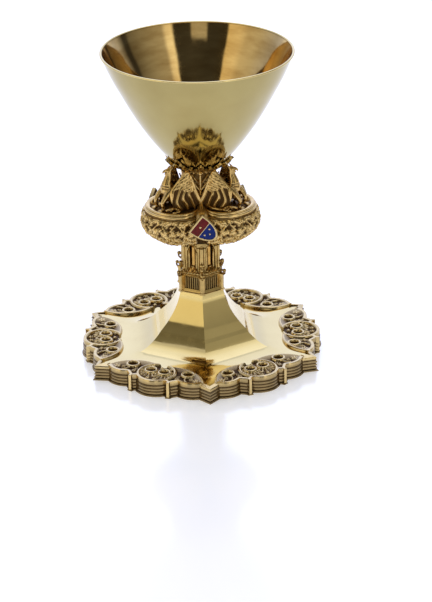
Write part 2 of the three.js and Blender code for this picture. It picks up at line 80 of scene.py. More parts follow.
FLANGE_HEIGHT = 1.4
FLANGE_REACH = 1.1
RIM_HEIGHT = 8
RIM_BORE_RADIUS = 61
SHEET_THICKNESS = 1.2
PYRAMID_HEIGHT = 36.8
TIP_RADIUS = 84.5
TIP_HALF_WIDTH = 6.5
TIP_LENGTH = 7.2
LOBE_REACH = 79.8
LOBE_RADIUS = 14.2
BARB_REACH = 77.3
BARB_SIDE = 13.8
NOTCH_REACH = 72.3
NOTCH_SIDE = 18.4
SIDE_LOBE_BULGE = 2.2

SEAT_GAP = 0.3
PLATE_INSET = 0.6
PLATE_HEIGHT = 1.7
PLATE_FRAME = 2.2
PLATE_CUSP_REACH = 56
PLATE_CUP_REACH = 52.5
PLATE_CUP_SIDE = 13
RIDGE_HALF_WIDTH = 3.3

GALLERY_HEIGHT = 14
GALLERY_RADIUS = 16.5
STEM_HEIGHT = 21
STEM_RADIUS = 14.5
KNOP_HEIGHT = 28.2
LOBE_OFFSET = 17
KNOP_LOBE_RADIUS = 24.4
RING_MOULDING = 1.6
NECK_HEIGHT = 22
BOWL_HEIGHT = 78.2
BOWL_RADIUS = 62.3
BOWL_WALL = 1

SHEET_TOP = RIM_HEIGHT + SHEET_THICKNESS
GALLERY_BASE = SHEET_TOP + PYRAMID_HEIGHT
STEM_BASE = GALLERY_BASE + GALLERY_HEIGHT
KNOP_BASE = STEM_BASE + STEM_HEIGHT
KNOP_TOP = KNOP_BASE + KNOP_HEIGHT
WELL_FLOOR = KNOP_TOP - RING_MOULDING
CALYX_BASE = WELL_FLOOR + NECK_HEIGHT
BOWL_BASE = CALYX_BASE + 2

# Colours, linear

GOLD_FOOT = (0.80, 0.63, 0.27)
# The bowl's outside: the foot's polished gilt darkened, painted shade that stands for the darker surroundings it
# mirrors
GOLD_SHADED_BOWL = (0.425, 0.345, 0.145)
GOLD_INSIDE = (0.74, 0.525, 0.225)
GOLD_CAST = (0.845, 0.595, 0.24)
GOLD_BEAST = (0.77, 0.52, 0.195)
GOLD_TOWER = (0.62, 0.43, 0.16)
GOLD_BAY = (0.68, 0.40, 0.11)
GOLD_BORDER = (0.77, 0.585, 0.28)
GOLD_EDGE = (0.36, 0.26, 0.125)
PATINA = (0.085, 0.043, 0.014)
ENAMEL_RED = (0.20, 0.010, 0.008)
ENAMEL_BLUE = (0.003, 0.025, 0.24)
FLOOR_COLOUR = (0.93, 0.93, 0.93)
FLOOR_GLOW = 0.47


# Materials


def new_material(name):
    material = bpy.data.materials.new(name)
    material.use_nodes = True
    nodes = material.node_tree.nodes
    shader = nodes["Principled BSDF"]
    return material, nodes, material.node_tree.links, shader


def noise(nodes, links, scale, detail, stretch=None):
    """A noise texture in object space, in patterns per metre, and stretched where asked."""
    coordinates = nodes.new("ShaderNodeTexCoord")
    texture = nodes.new("ShaderNodeTexNoise")
    texture.inputs["Scale"].default_value = scale
    texture.inputs["Detail"].default_value = detail
    source = coordinates.outputs["Object"]
    if stretch:
        mapping = nodes.new("ShaderNodeMapping")
        mapping.inputs["Scale"].default_value = stretch
        links.new(source, mapping.inputs["Vector"])
        source = mapping.outputs["Vector"]
    links.new(source, texture.inputs["Vector"])
    return texture.outputs["Fac"]


def ramp(nodes, links, source, stops):
    """A colour ramp, its stops given as (place, colour)."""
    node = nodes.new("ShaderNodeValToRGB")
    elements = node.color_ramp.elements
    while len(elements) < len(stops):
        elements.new(0.5)
    for element, (place, colour) in zip(elements, stops):
        element.position = place
        element.color = (*colour, 1) if len(colour) == 3 else colour
    links.new(source, node.inputs["Fac"])
    return node.outputs["Color"]


def grey(value):
    return (value, value, value)


def mix_colour(nodes, links, factor, first, second):
    """Mixes two colours, each a value or an output."""
    node = nodes.new("ShaderNodeMix")
    node.data_type = "RGBA"
    links.new(factor, node.inputs["Factor"])
    for name, colour in (("A", first), ("B", second)):
        socket = [s for s in node.inputs if s.name == name and s.type == "RGBA"][0]
        if isinstance(colour, tuple):
            socket.default_value = (*colour, 1)
        else:
            links.new(colour, socket)
    return [s for s in node.outputs if s.type == "RGBA"][0]


def bump(nodes, links, shader, height, strength, distance):
    node = nodes.new("ShaderNodeBump")
    node.inputs["Strength"].default_value = strength
    node.inputs["Distance"].default_value = distance
    links.new(height, node.inputs["Height"])
    links.new(node.outputs["Normal"], shader.inputs["Normal"])


def attribute(nodes, name):
    node = nodes.new("ShaderNodeAttribute")
    node.attribute_name = name
    return node.outputs["Fac"]


def polished_gold(name, gold, mottle, streaks=None):
    """Mirror gilding: colour drift, faint hand-polished waves and fine brush marks."""
    material, nodes, links, shader = new_material(name)
    shader.inputs["Metallic"].default_value = 1
    drift = noise(nodes, links, 45, 5, streaks)
    dull = tuple(mottle**power * c for power, c in zip((1, 1.3, 1.8), gold))
    colour = ramp(nodes, links, drift, [(0.32, dull), (0.62, gold)])
    links.new(colour, shader.inputs["Base Color"])
    gloss = ramp(nodes, links, noise(nodes, links, 160, 5), [(0.35, grey(0.05)), (0.75, grey(0.13))])
    links.new(gloss, shader.inputs["Roughness"])
    bump(nodes, links, shader, noise(nodes, links, 38, 2), 0.10, 0.0012)
    return material


def cast_gold(name, worn, dark, mottle=0.72):
    """Cast gilding, dark in its recesses and bright on its worn tops."""
    material, nodes, links, shader = new_material(name)
    shader.inputs["Metallic"].default_value = 1
    relief = attribute(nodes, "relief")
    blotch = noise(nodes, links, 260, 4)
    warm = ramp(
        nodes,
        links,
        blotch,
        [(0.3, tuple(mottle * c for c in worn)), (0.62, worn)],
    )
    mask = ramp(nodes, links, relief, [(dark - 0.25, grey(0)), (dark + 0.3, grey(1))])
    links.new(mix_colour(nodes, links, mask, PATINA, warm), shader.inputs["Base Color"])
    gloss = ramp(nodes, links, relief, [(0.1, grey(0.5)), (0.8, grey(0.18))])
    links.new(gloss, shader.inputs["Roughness"])
    bump(nodes, links, shader, noise(nodes, links, 900, 4), 0.25, 0.0002)
    return material


def enamel(name, colour):
    """Glassy enamel with a little depth of colour."""
    material, nodes, links, shader = new_material(name)
    cloud = noise(nodes, links, 500, 3)
    shade = ramp(nodes, links, cloud, [(0.3, tuple(0.6 * c for c in colour)), (0.7, colour)])
    links.new(shade, shader.inputs["Base Color"])
    shader.inputs["Roughness"].default_value = 0.16
    shader.inputs["Specular IOR Level"].default_value = 0.2
    bump(nodes, links, shader, noise(nodes, links, 300, 2), 0.1, 0.0003)
    return material


def floor_material():
    material, nodes, links, shader = new_material("floor")
    soft = noise(nodes, links, 3, 2)
    colour = ramp(
        nodes,
        links,
        soft,
        [(0.3, FLOOR_COLOUR), (0.7, tuple(1.02 * c for c in FLOOR_COLOUR))],
    )
    links.new(colour, shader.inputs["Base Color"])
    shader.inputs["Roughness"].default_value = 0.3
    shader.inputs["Coat Weight"].default_value = 1.0
    shader.inputs["Coat IOR"].default_value = 1.9
    shader.inputs["Coat Roughness"].default_value = 0.12
    shader.inputs["Emission Color"].default_value = (1, 1, 1, 1)
    shader.inputs["Emission Strength"].default_value = FLOOR_GLOW
    return material


FOOT_GOLD = polished_gold("foot_gold", GOLD_FOOT, 0.95)
# Darkened copy of the polished gilt for the bowl's outside: painted shade in its reflections
BOWL_GILT_SHADED = polished_gold("painted_shade_bowl_gilt", GOLD_SHADED_BOWL, 0.94)
INSIDE_GOLD = polished_gold("inside_gold", GOLD_INSIDE, 0.72, (1, 1, 3.5))
CAST = cast_gold("cast_gold", GOLD_CAST, 0.38)
BEAST = cast_gold("beast_gold", GOLD_BEAST, 0.42)
TOWER = cast_gold("tower_gold", GOLD_TOWER, 0.38)
BAY = cast_gold("bay_gold", GOLD_BAY, 0.38)
BORDER = cast_gold("border_gold", GOLD_BORDER, 0.58, 0.85)
EDGE = cast_gold("edge_gold", GOLD_EDGE, 0.25, 0.85)
RED = enamel("red_enamel", ENAMEL_RED)
BLUE = enamel("blue_enamel", ENAMEL_BLUE)


# Mesh helpers, in millimetres


def polar(radius, azimuth, z):
    """Points at a radius and azimuth, broadcast together."""
    radius, azimuth, z = np.broadcast_arrays(radius, azimuth, z)
    return np.stack([radius * np.sin(azimuth), -radius * np.cos(azimuth), z], -1)


def grid_faces(rows, columns, closed=False):
    """Quads of a grid of points, row by row; closed joins the last column to the first."""
    row = np.arange(rows - 1)[:, None]
    column = np.arange(columns if closed else columns - 1)[None, :]
    after = (column + 1) % columns
    start = row * columns
    corners = [start + column, start + after, start + columns + after, start + columns + column]
    return np.stack(np.broadcast_arrays(*corners), -1).reshape(-1, 4)


def catmull_rom(points, shares):
    """Points of a spline through the given points, evenly spaced in its parameter."""
    points = np.asarray(points, float)
    last = len(points) - 1
    place = np.clip(np.asarray(shares) * last, 0, last)
    index = np.minimum(place.astype(int), last - 1)
    t = (place - index)[:, None]
    p0 = points[np.maximum(index - 1, 0)]
    p1 = points[index]
    p2 = points[index + 1]
    p3 = points[np.minimum(index + 2, last)]
    v0 = (p2 - p0) / 2
    v1 = (p3 - p1) / 2
    return (
        (2 * p1 - 2 * p2 + v0 + v1) * t**3 + (-3 * p1 + 3 * p2 - 2 * v0 - v1) * t**2 + v0 * t + p1
    )


class Casting:
    """Collects pieces of mesh and joins them into one object."""

    def __init__(self):
        self.points, self.faces, self.materials, self.relief = [], [], [], []
        self.count = 0

    def add(self, points, faces, relief=1.0, material=0):
        points = np.asarray(points, float).reshape(-1, 3)
        self.points.append(points)
        self.relief.append(np.broadcast_to(np.asarray(relief, float).reshape(-1), len(points)))
        self.faces += (np.asarray(faces) + self.count).tolist()
        self.materials += [material] * len(faces)
        self.count += len(points)

    def join(self, other):
        """Adds a copy of all of another casting's mesh."""
        self.points += other.points
        self.relief += other.relief
        self.faces += (np.asarray(other.faces) + self.count).tolist()
        self.materials += other.materials
        self.count += other.count

    def turned(self, azimuth):
        """The same casting with +X pointing outwards at an azimuth."""
        angle = azimuth - math.pi / 2
        cos, sin = math.cos(angle), math.sin(angle)
        turn = np.array([[cos, -sin, 0], [sin, cos, 0], [0, 0, 1]])
        copy = Casting()
        copy.points = [points @ turn.T for points in self.points]
        copy.faces, copy.materials, copy.relief = self.faces, self.materials, self.relief
        copy.count = self.count
        return copy

    def piece(self, name, materials, slot, *nodes, sharp=40):
        """Makes the object, which replaces the CAD nodes."""
        mesh = bpy.data.meshes.new(name)
        mesh.from_pydata((np.concatenate(self.points) * MM).tolist(), [], self.faces)
        for material in materials:
            mesh.materials.append(material)
        mesh.polygons.foreach_set("material_index", self.materials)
        mesh.polygons.foreach_set("use_smooth", [True] * len(mesh.polygons))
        relief = mesh.attributes.new("relief", "FLOAT", "POINT")
        relief.data.foreach_set("value", np.concatenate(self.relief).astype(np.float32))
        mesh.validate()
        mesh.set_sharp_from_angle(angle=math.radians(sharp))
        made = bpy.data.objects.new(name, mesh)
        bpy.context.scene.collection.objects.link(made)
        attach(made, "root")
        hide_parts(*nodes)
        return made


# Bowl

BOWL_SHARES = [
    (0, 0),
    (0.16, 0.012),
    (0.27, 0.054),
    (0.36, 0.130),
    (0.445, 0.212),
    (0.533, 0.307),
    (0.61, 0.398),
    (0.68, 0.49),
    (0.746, 0.583),
    (0.809, 0.677),
    (0.903, 0.822),
    (1, 1),
]
LIP_HALF_WIDTH = 0.85
LIP_RISE = 0.6


def bowl_profile(shares, distance):
    """Points (radius, z) of the bowl's outside, moved outwards by a distance."""
    spline = [(r * BOWL_RADIUS, BOWL_BASE + z * BOWL_HEIGHT) for r, z in BOWL_SHARES]
    points = catmull_rom(spline, shares)
    step = 1e-3
    ahead = catmull_rom(spline, np.clip(np.asarray(shares) + step, 0, 1))
    behind = catmull_rom(spline, np.clip(np.asarray(shares) - step, 0, 1))
    tangent = ahead - behind
    tangent /= np.linalg.norm(tangent, axis=1)[:, None]
    return points + distance * np.stack([tangent[:, 1], -tangent[:, 0]], -1)


def make_bowl():
    rows, columns = 80, 208
    shares = np.linspace(0, 1, rows)
    outside = bowl_profile(shares, 0)
    inside = bowl_profile(shares[::-1], -BOWL_WALL)
    middle = (outside[-1] + inside[0]) / 2
    lip = [
        middle + np.array([LIP_HALF_WIDTH * math.cos(a), LIP_RISE * math.sin(a)])
        for a in np.linspace(-0.5, math.pi + 0.5, 12)
    ]
    profile = np.vstack([outside, lip, inside])
    profile[0, 0] = profile[-1, 0] = 0.01
    azimuths = np.linspace(0, 2 * math.pi, columns, endpoint=False)
    points = polar(profile[:, :1], azimuths[None, :], profile[:, 1:])
    bowl = Casting()
    bowl.add(points, grid_faces(len(profile), columns, closed=True))
    below_lip, inner = (rows - 1) * columns, (rows + len(lip) - 1) * columns
    # The outside takes the darkened gilt (painted shade), the lip the foot's gilt, and the inside its own gilt
    bowl.materials = [0] * below_lip + [2] * (inner - below_lip) + [1] * (len(bowl.faces) - inner)
    bowl.piece("bowl_cup", [BOWL_GILT_SHADED, INSIDE_GOLD, FOOT_GOLD], "polished_gilt", "bowl")


make_bowl()


# Solid helpers: turned, swept and boxed forms, each given as (points, faces)


def lathe(profile, sides=16, centre=(0, 0), phase=0.0):
    """A turned form through (radius, z) points, lowest first, closed at both ends."""
    profile = [(1e-3, profile[0][1]), *profile, (1e-3, profile[-1][1])]
    angles = phase + 2 * math.pi * np.arange(sides) / sides
    radius = np.array([r for r, _ in profile])[:, None]
    z = np.array([z for _, z in profile])[:, None]
    points = polar(radius, angles[None, :], z)
    points[..., :2] += centre
    return points, grid_faces(len(profile), sides, closed=True)


def tube(path, radii, sides=8, flat=1.0):
    """A cord along a path, its radius given at each point or once. Flat squeezes it upright."""
    path = np.asarray(path, float)
    radii = np.broadcast_to(np.asarray(radii, float), len(path))
    along = np.gradient(path, axis=0)
    along /= np.linalg.norm(along, axis=1)[:, None]
    aside = np.cross(along, (0.0, 0.0, 1.0))
    weak = np.linalg.norm(aside, axis=1) < 0.05
    aside[weak] = np.cross(along[weak], (0.0, 1.0, 0.0))
    aside /= np.linalg.norm(aside, axis=1)[:, None]
    up = np.cross(aside, along)
    angles = 2 * math.pi * np.arange(sides) / sides
    spokes = (
        aside[:, None] * np.cos(angles)[None, :, None]
        + up[:, None] * np.sin(angles)[None, :, None] * flat
    )
    rings = path[:, None] + spokes * radii[:, None, None]
    ends = np.repeat(path[[0, -1]][:, None], sides, axis=1)
    points = np.concatenate([ends[:1], rings, ends[1:]])
    return points, grid_faces(len(points), sides, closed=True)


def box(low, high, taper=0.0, bevel=0.15):
    """A box with its long edges bevelled, narrowed by a taper towards its top."""
    (x0, y0, z0), (x1, y1, z1) = low, high
    rings = []
    for z, inset in ((z0, 0), (z1 - bevel, taper), (z1, taper + bevel)):
        a0, a1, b0, b1 = x0 + inset, x1 - inset, y0 + inset, y1 - inset
        c = min(bevel, (a1 - a0) / 3, (b1 - b0) / 3)
        rings.append(
            [(a0 + c, b0, z), (a1 - c, b0, z), (a1, b0 + c, z), (a1, b1 - c, z), (a1 - c, b1, z),
             (a0 + c, b1, z), (a0, b1 - c, z), (a0, b0 + c, z)]
        )
    middle = [((x0 + x1) / 2, (y0 + y1) / 2, z1)] * 8
    points = np.array([*rings, middle])
    return points, grid_faces(4, 8, closed=True)


def ball(centre, radius, lumps=0.0, count=5, stretch=1.0):
    """A round knob, lumped like a small leafy bud where asked."""
    rows, columns = 11, 16
    tilt = np.linspace(-math.pi / 2, math.pi / 2, rows)[:, None]
    turn = 2 * math.pi * np.arange(columns)[None, :] / columns
    swell = radius * (1 + lumps * np.cos(count * turn) * np.cos(tilt) * np.cos(3 * tilt))
    points = np.stack(
        [swell * np.cos(tilt) * np.cos(turn), swell * np.cos(tilt) * np.sin(turn),
         np.broadcast_to(radius * stretch * np.sin(tilt), swell.shape)],
        -1,
    )
    return points + np.asarray(centre), grid_faces(rows, columns, closed=True)


# Foot: outline of the star, in plate coordinates (x outwards along a plate's middle)


def arc_through(a, b, c, steps):
    """Points of the circular arc from a to c by way of b."""
    a, b, c = (np.asarray(p, float) for p in (a, b, c))
    d = 2 * (a[0] * (b[1] - c[1]) + b[0] * (c[1] - a[1]) + c[0] * (a[1] - b[1]))
    squares = a @ a, b @ b, c @ c
    sides_y = b[1] - c[1], c[1] - a[1], a[1] - b[1]
    sides_x = c[0] - b[0], a[0] - c[0], b[0] - a[0]
    centre = np.array([np.dot(squares, sides_y), np.dot(squares, sides_x)]) / d
    radius = np.linalg.norm(a - centre)
    start = math.atan2(*(a - centre)[::-1])
    sweep = math.atan2(*(c - centre)[::-1]) - start
    if d < 0 < sweep:
        sweep -= 2 * math.pi
    if d > 0 > sweep:
        sweep += 2 * math.pi
    angles = start + sweep * np.linspace(0, 1, steps + 1)
    return centre + radius * np.stack([np.cos(angles), np.sin(angles)], -1)


BARB_WIDTH = 1.7
BARB_STRIP = 2.0
BARB_TOP = 11.3


def edge_half():
    """From the top of the middle lobe over the barb and the side lobe to the star point."""
    lobe_end = math.asin((BARB_SIDE - 3.4) / LOBE_RADIUS)
    angles = np.linspace(0, lobe_end, 14)
    centre = LOBE_REACH - LOBE_RADIUS
    lobe = [(centre + LOBE_RADIUS * math.cos(a), LOBE_RADIUS * math.sin(a)) for a in angles]
    barb = [
        (BARB_REACH - 0.9, BARB_SIDE - 0.5 - BARB_WIDTH / 2),
        (BARB_REACH + 0.4, BARB_SIDE - BARB_WIDTH / 2),
        (BARB_REACH, BARB_SIDE + BARB_WIDTH / 2),
        (BARB_REACH - 1.4, BARB_SIDE + 0.3 + BARB_WIDTH / 2),
    ]
    notch = np.array((NOTCH_REACH, NOTCH_SIDE))
    along = np.array((math.cos(SECTOR / 2), math.sin(SECTOR / 2)))
    across = np.array((along[1], -along[0]))
    tip_root = along * (TIP_RADIUS - TIP_LENGTH) + across * TIP_HALF_WIDTH
    run = tip_root - notch
    out = np.array((run[1], -run[0])) / np.linalg.norm(run)
    side_lobe = arc_through(notch, (notch + tip_root) / 2 + out * SIDE_LOBE_BULGE, tip_root, 10)
    return np.vstack([lobe, barb, side_lobe])


def turned_plane(points, angle):
    cos, sin = math.cos(angle), math.sin(angle)
    return np.asarray(points) @ np.array([[cos, sin], [-sin, cos]])


def star_outline():
    """The whole star, anticlockwise from above, in the object's frame. It starts at a tip."""
    half = edge_half()
    tip = turned_plane([(TIP_RADIUS, 0)], -SECTOR / 2)
    sixth = np.vstack([tip, half[::-1] * (1, -1), half[1:]])
    return np.vstack([turned_plane(sixth, (i + 0.5) * SECTOR - math.pi / 2) for i in range(SIDES)])


def offset_outline(outline, distance):
    """Moves a closed anticlockwise outline outwards, corner by corner."""
    before = outline - np.roll(outline, 1, 0)
    after = np.roll(outline, -1, 0) - outline
    n1 = np.stack([before[:, 1], -before[:, 0]], -1) / np.linalg.norm(before, axis=1)[:, None]
    n2 = np.stack([after[:, 1], -after[:, 0]], -1) / np.linalg.norm(after, axis=1)[:, None]
    mitre = n1 + n2
    mitre /= np.linalg.norm(mitre, axis=1)[:, None]
    reach = distance / np.maximum((mitre * n2).sum(1), 0.55)
    return outline + mitre * reach[:, None]


STAR = star_outline()

REEDS = 3
REED_PITCH = 2.1
# Moulded edge: how far each level stands out of the star, its height and how worn it is
EDGE_PROFILE = [
    (-4.0, 0.0, 0.2),
    (FLANGE_REACH, 0.0, 0.5),
    (FLANGE_REACH, 0.45, 0.9),
    (0.7, 0.85, 0.6),
    (-0.2, 1.1, 0.0),
]
for reed in range(REEDS):
    low = 1.35 + REED_PITCH * reed
    EDGE_PROFILE += [(-0.3, low, 0.15), (0.28, low + 0.4, 0.7), (0.34, low + 1.15, 0.9)]
    EDGE_PROFILE += [(-0.3, low + 1.7, 0.15)]
EDGE_PROFILE += [(-0.15, 7.8, 0.1), (-0.15, 8.2, 0.1)]


def make_foot_edge():
    rings = [offset_outline(STAR, out) for out, _, _ in EDGE_PROFILE]
    points = [np.column_stack([ring, np.full(len(ring), z)]) for ring, (_, z, _) in zip(rings, EDGE_PROFILE)]
    relief = np.repeat([worn for _, _, worn in EDGE_PROFILE], len(STAR))
    edge = Casting()
    edge.add(np.array(points), grid_faces(len(EDGE_PROFILE), len(STAR), closed=True), relief)
    edge.join(tip_bands())
    edge.join(barbs())
    edge.piece("foot_edge", [EDGE, BORDER], "aged_gilt", "foot_rim", sharp=28)


# Border round each star point: a bevel that falls outwards and meets in a mitre
TIP_BAND = [
    # out of the star, height, how worn
    (-0.1, 8.0, 0.6),
    (0.0, 9.4, 1.0),
    (-0.3, 10.0, 1.0),
    (-2.3, 10.9, 1.0),
    (-2.9, 10.6, 0.8),
    (-3.0, 9.3, 0.1),
]


def tip_bands():
    count = len(STAR) // SIDES
    band = Casting()
    for i in range(SIDES):
        near = [(i * count + k) % len(STAR) for k in (-2, -1, 0, 1, 2)]
        rings = [
            np.column_stack([offset_outline(STAR, out)[near], np.full(len(near), z)])
            for out, z, _ in TIP_BAND
        ]
        relief = np.repeat([worn for _, _, worn in TIP_BAND], len(near))
        band.add(np.array(rings), grid_faces(len(TIP_BAND), len(near)), relief, material=1)
    return band


def barbs():
    """Flat upright strips that stand out of the edge beside each plate's middle lobe."""
    strips = Casting()
    low = (BARB_REACH - 2.6, BARB_SIDE - BARB_STRIP / 2, 0.5)
    high = (BARB_REACH + 0.85, BARB_SIDE + BARB_STRIP / 2, BARB_TOP)
    points, faces = box(low, high, 0, 0.3)
    strips.add(points, faces, 0.95, material=1)
    strips.add(points * (1, -1, 1), faces[:, ::-1], 0.95, material=1)
    whole = Casting()
    for i in range(SIDES):
        whole.join(strips.turned((i + 0.5) * SECTOR))
    return whole


# Polished foot. The pyramid's levels are (radius of a ridge, height) from the tower down.
CREASE = 6  # index of the level where the flat facets end in a narrow band
PYRAMID_LEVELS = [
    (16.5, 46.0),
    (17.3, 42.8),
    (18.6, 39.0),
    (20.6, 35.0),
    (23.6, 30.5),
    (27.8, 25.6),
    (33.2, 20.6),
    (34.6, 18.9),
    (37.2, 16.6),
    (40.4, 14.2),
    (44.4, 12.0),
    (48.2, 10.6),
    (52.0, 9.85),
    (56.0, 9.44),
    (59.5, 9.27),
    (63.0, 9.225),
]
STRIP_RISE = 0.7
SHEET_ROWS = 14


def pyramid_curve():
    """Finer levels of the pyramid, with its crease kept."""
    upper = catmull_rom(PYRAMID_LEVELS[: CREASE + 1], np.linspace(0, 1, 25))
    lower = catmull_rom(PYRAMID_LEVELS[CREASE + 1 :], np.linspace(0, 1, 28))
    return np.vstack([upper, lower])


def ridge_distance(points):
    """Distance of points from the nearest of the six lines that run out to the star points."""
    azimuth = np.arctan2(points[..., 0], -points[..., 1])
    off = (azimuth + SECTOR / 2) % SECTOR - SECTOR / 2
    return np.linalg.norm(points, axis=-1) * np.abs(np.sin(off))


def make_foot_sheet():
    azimuths = np.arctan2(STAR[:, 0], -STAR[:, 1])
    edge_radius = np.linalg.norm(STAR, axis=1)
    from_ridge = (azimuths % SECTOR) - SECTOR / 2
    levels = pyramid_curve()
    hexagon = math.cos(SECTOR / 2) / np.cos(from_ridge)
    rows = [polar(reach * hexagon, azimuths, z) for reach, z in levels]
    last = levels[-1][0] * hexagon
    for share in np.linspace(0, 1, SHEET_ROWS)[1:]:
        radius = last + (edge_radius - 0.2 - last) * share
        flat = polar(radius, azimuths, SHEET_TOP)
        roof = np.clip(1 - ridge_distance(flat[:, :2]) / RIDGE_HALF_WIDTH, 0, 1)
        roof *= min(1.0, 4 * share)
        settle = max(0.0, 1 - share * 4) * (levels[-1][1] - SHEET_TOP)
        flat[:, 2] += STRIP_RISE * roof + settle * (1 - roof)
        rows.append(flat)
    below = polar(edge_radius - 0.2, azimuths, RIM_HEIGHT)
    rows.append(below)
    points = np.array(rows)[::-1]
    foot = Casting()
    foot.add(points, grid_faces(len(points), len(STAR), closed=True))
    inner = np.array([polar(reach * hexagon - SHEET_THICKNESS, azimuths, z - SHEET_THICKNESS) for reach, z in levels])
    foot.add(inner, grid_faces(len(inner), len(STAR), closed=True))
    foot.piece("foot_sheet", [FOOT_GOLD], "polished_gilt", "foot", sharp=14)


make_foot_edge()
make_foot_sheet()


# Relief drawn on a plane: heights over points, from lines, rings and leaves


def nearest_on_path(points, path):
    """Distance of points from a polyline, and the share of its length where that is."""
    path = np.asarray(path, float)
    start, run = path[:-1], np.diff(path, axis=0)
    length = np.linalg.norm(run, axis=1)
    before = np.concatenate([[0], np.cumsum(length)])
    best = np.full(len(points), 1e9)
    share = np.zeros(len(points))
    for a, step, size, done in zip(start, run, length, before):
        t = np.clip(((points - a) @ step) / size**2, 0, 1)
        distance = np.linalg.norm(points - a - t[:, None] * step, axis=1)
        closer = distance < best
        best[closer] = distance[closer]
        share[closer] = (done + t[closer] * size) / before[-1]
    return best, share


def curve(*points, steps=24):
    return catmull_rom(points, np.linspace(0, 1, steps))


def bead(points, path, half_width, top, ends=(1, 1)):
    """A rounded cord along a path, its width tapered towards the ends."""
    distance, share = nearest_on_path(points, path)
    width = half_width * np.interp(share, [0, 0.5, 1], [ends[0], 1, ends[1]])
    return top * np.sqrt(np.clip(1 - (distance / width) ** 2, 0, 1))


def ring(points, centre, radius, half_width, top):
    distance = np.abs(np.linalg.norm(points - np.asarray(centre), axis=1) - radius)
    return top * np.sqrt(np.clip(1 - (distance / half_width) ** 2, 0, 1))


def boss(points, centre, radius, top):
    distance = np.linalg.norm(points - np.asarray(centre), axis=1)
    return top * np.sqrt(np.clip(1 - (distance / radius) ** 2, 0, 1))


def flower(points, centre, radius, petals, top, turn=0.0):
    """Round petals about a small boss."""
    away = points - np.asarray(centre)
    distance = np.linalg.norm(away, axis=1)
    angle = np.arctan2(away[:, 1], away[:, 0]) + turn
    petal = np.abs(np.cos(petals / 2 * angle))
    reach = radius * (0.55 + 0.45 * petal)
    dome = np.sqrt(np.clip(1 - ((distance / reach - 0.55) / 0.45) ** 2, 0, 1))
    groove = 0.45 + 0.55 * petal**0.6
    return np.maximum(top * 0.85 * dome * groove, boss(points, centre, 0.34 * radius, top))


def leaf(points, path, half_width, top, lobes=4, depth=0.3):
    """A lobed leaf with a midrib, broad at its start and pointed at its end."""
    distance, share = nearest_on_path(points, path)
    taper = np.clip(np.sin(math.pi * np.clip(share * 0.88 + 0.12, 0, 1)), 0, 1) ** 0.7
    scallop = 1 - depth + depth * np.abs(np.cos(math.pi * lobes * (share - 0.12 * distance)))
    width = np.maximum(half_width * taper * scallop, 0.05)
    across = distance / width
    body = np.sqrt(np.clip(1 - across**2, 0, 1))
    vein = 1 - 0.45 * np.exp(-((distance / 0.28) ** 2))
    ribs = 0.82 + 0.18 * np.cos(2 * math.pi * lobes * (share - 0.1 * distance))
    return top * body * vein * ribs * (0.55 + 0.45 * taper)


# Scroll plates

PLATE_FLOOR_Z = SHEET_TOP + 0.3
PLATE_RISE = 1.65  # of the rim over that floor
PLATE_ROLL = 1.5  # width of the rounded inner rim
PLATE_DISH = 6.2  # width of the smooth slope inside it
PLATE_SKIRT = [
    # out of the plate's edge, height, how worn
    (0.35, 11.2, 1.0),
    (0.62, 10.7, 0.85),
    (0.72, 9.6, 0.7),
    (0.7, 8.15, 0.55),
]
MEDALLION = (66.3, 0.0)
MEDALLION_RADIUS = 12.4
EYE = (64.6, 4.9)  # dark hole of a volute
EYE_RADIUS = 3.7
HOLLOW_RING = (60.6, 20.2)
HOLLOW_RING_RADIUS = 3.9
FLOWER = (66.4, 29.0)
PLATE_COLUMNS = 244
PLATE_ROWS = 70


def plate_outline():
    """Half of a plate, from the middle lobe to the horn and back along its inner arc."""
    half = edge_half()
    reach = TIP_RADIUS - TIP_LENGTH
    cos, sin = math.cos(SECTOR / 2), math.sin(SECTOR / 2)
    horn = (reach * cos + RIDGE_HALF_WIDTH * sin, reach * sin - RIDGE_HALF_WIDTH * cos)
    cup = (PLATE_CUP_REACH, PLATE_CUP_SIDE)
    inner = arc_through(horn, cup, (PLATE_CUSP_REACH, 0), 30)
    return np.vstack([half, inner])


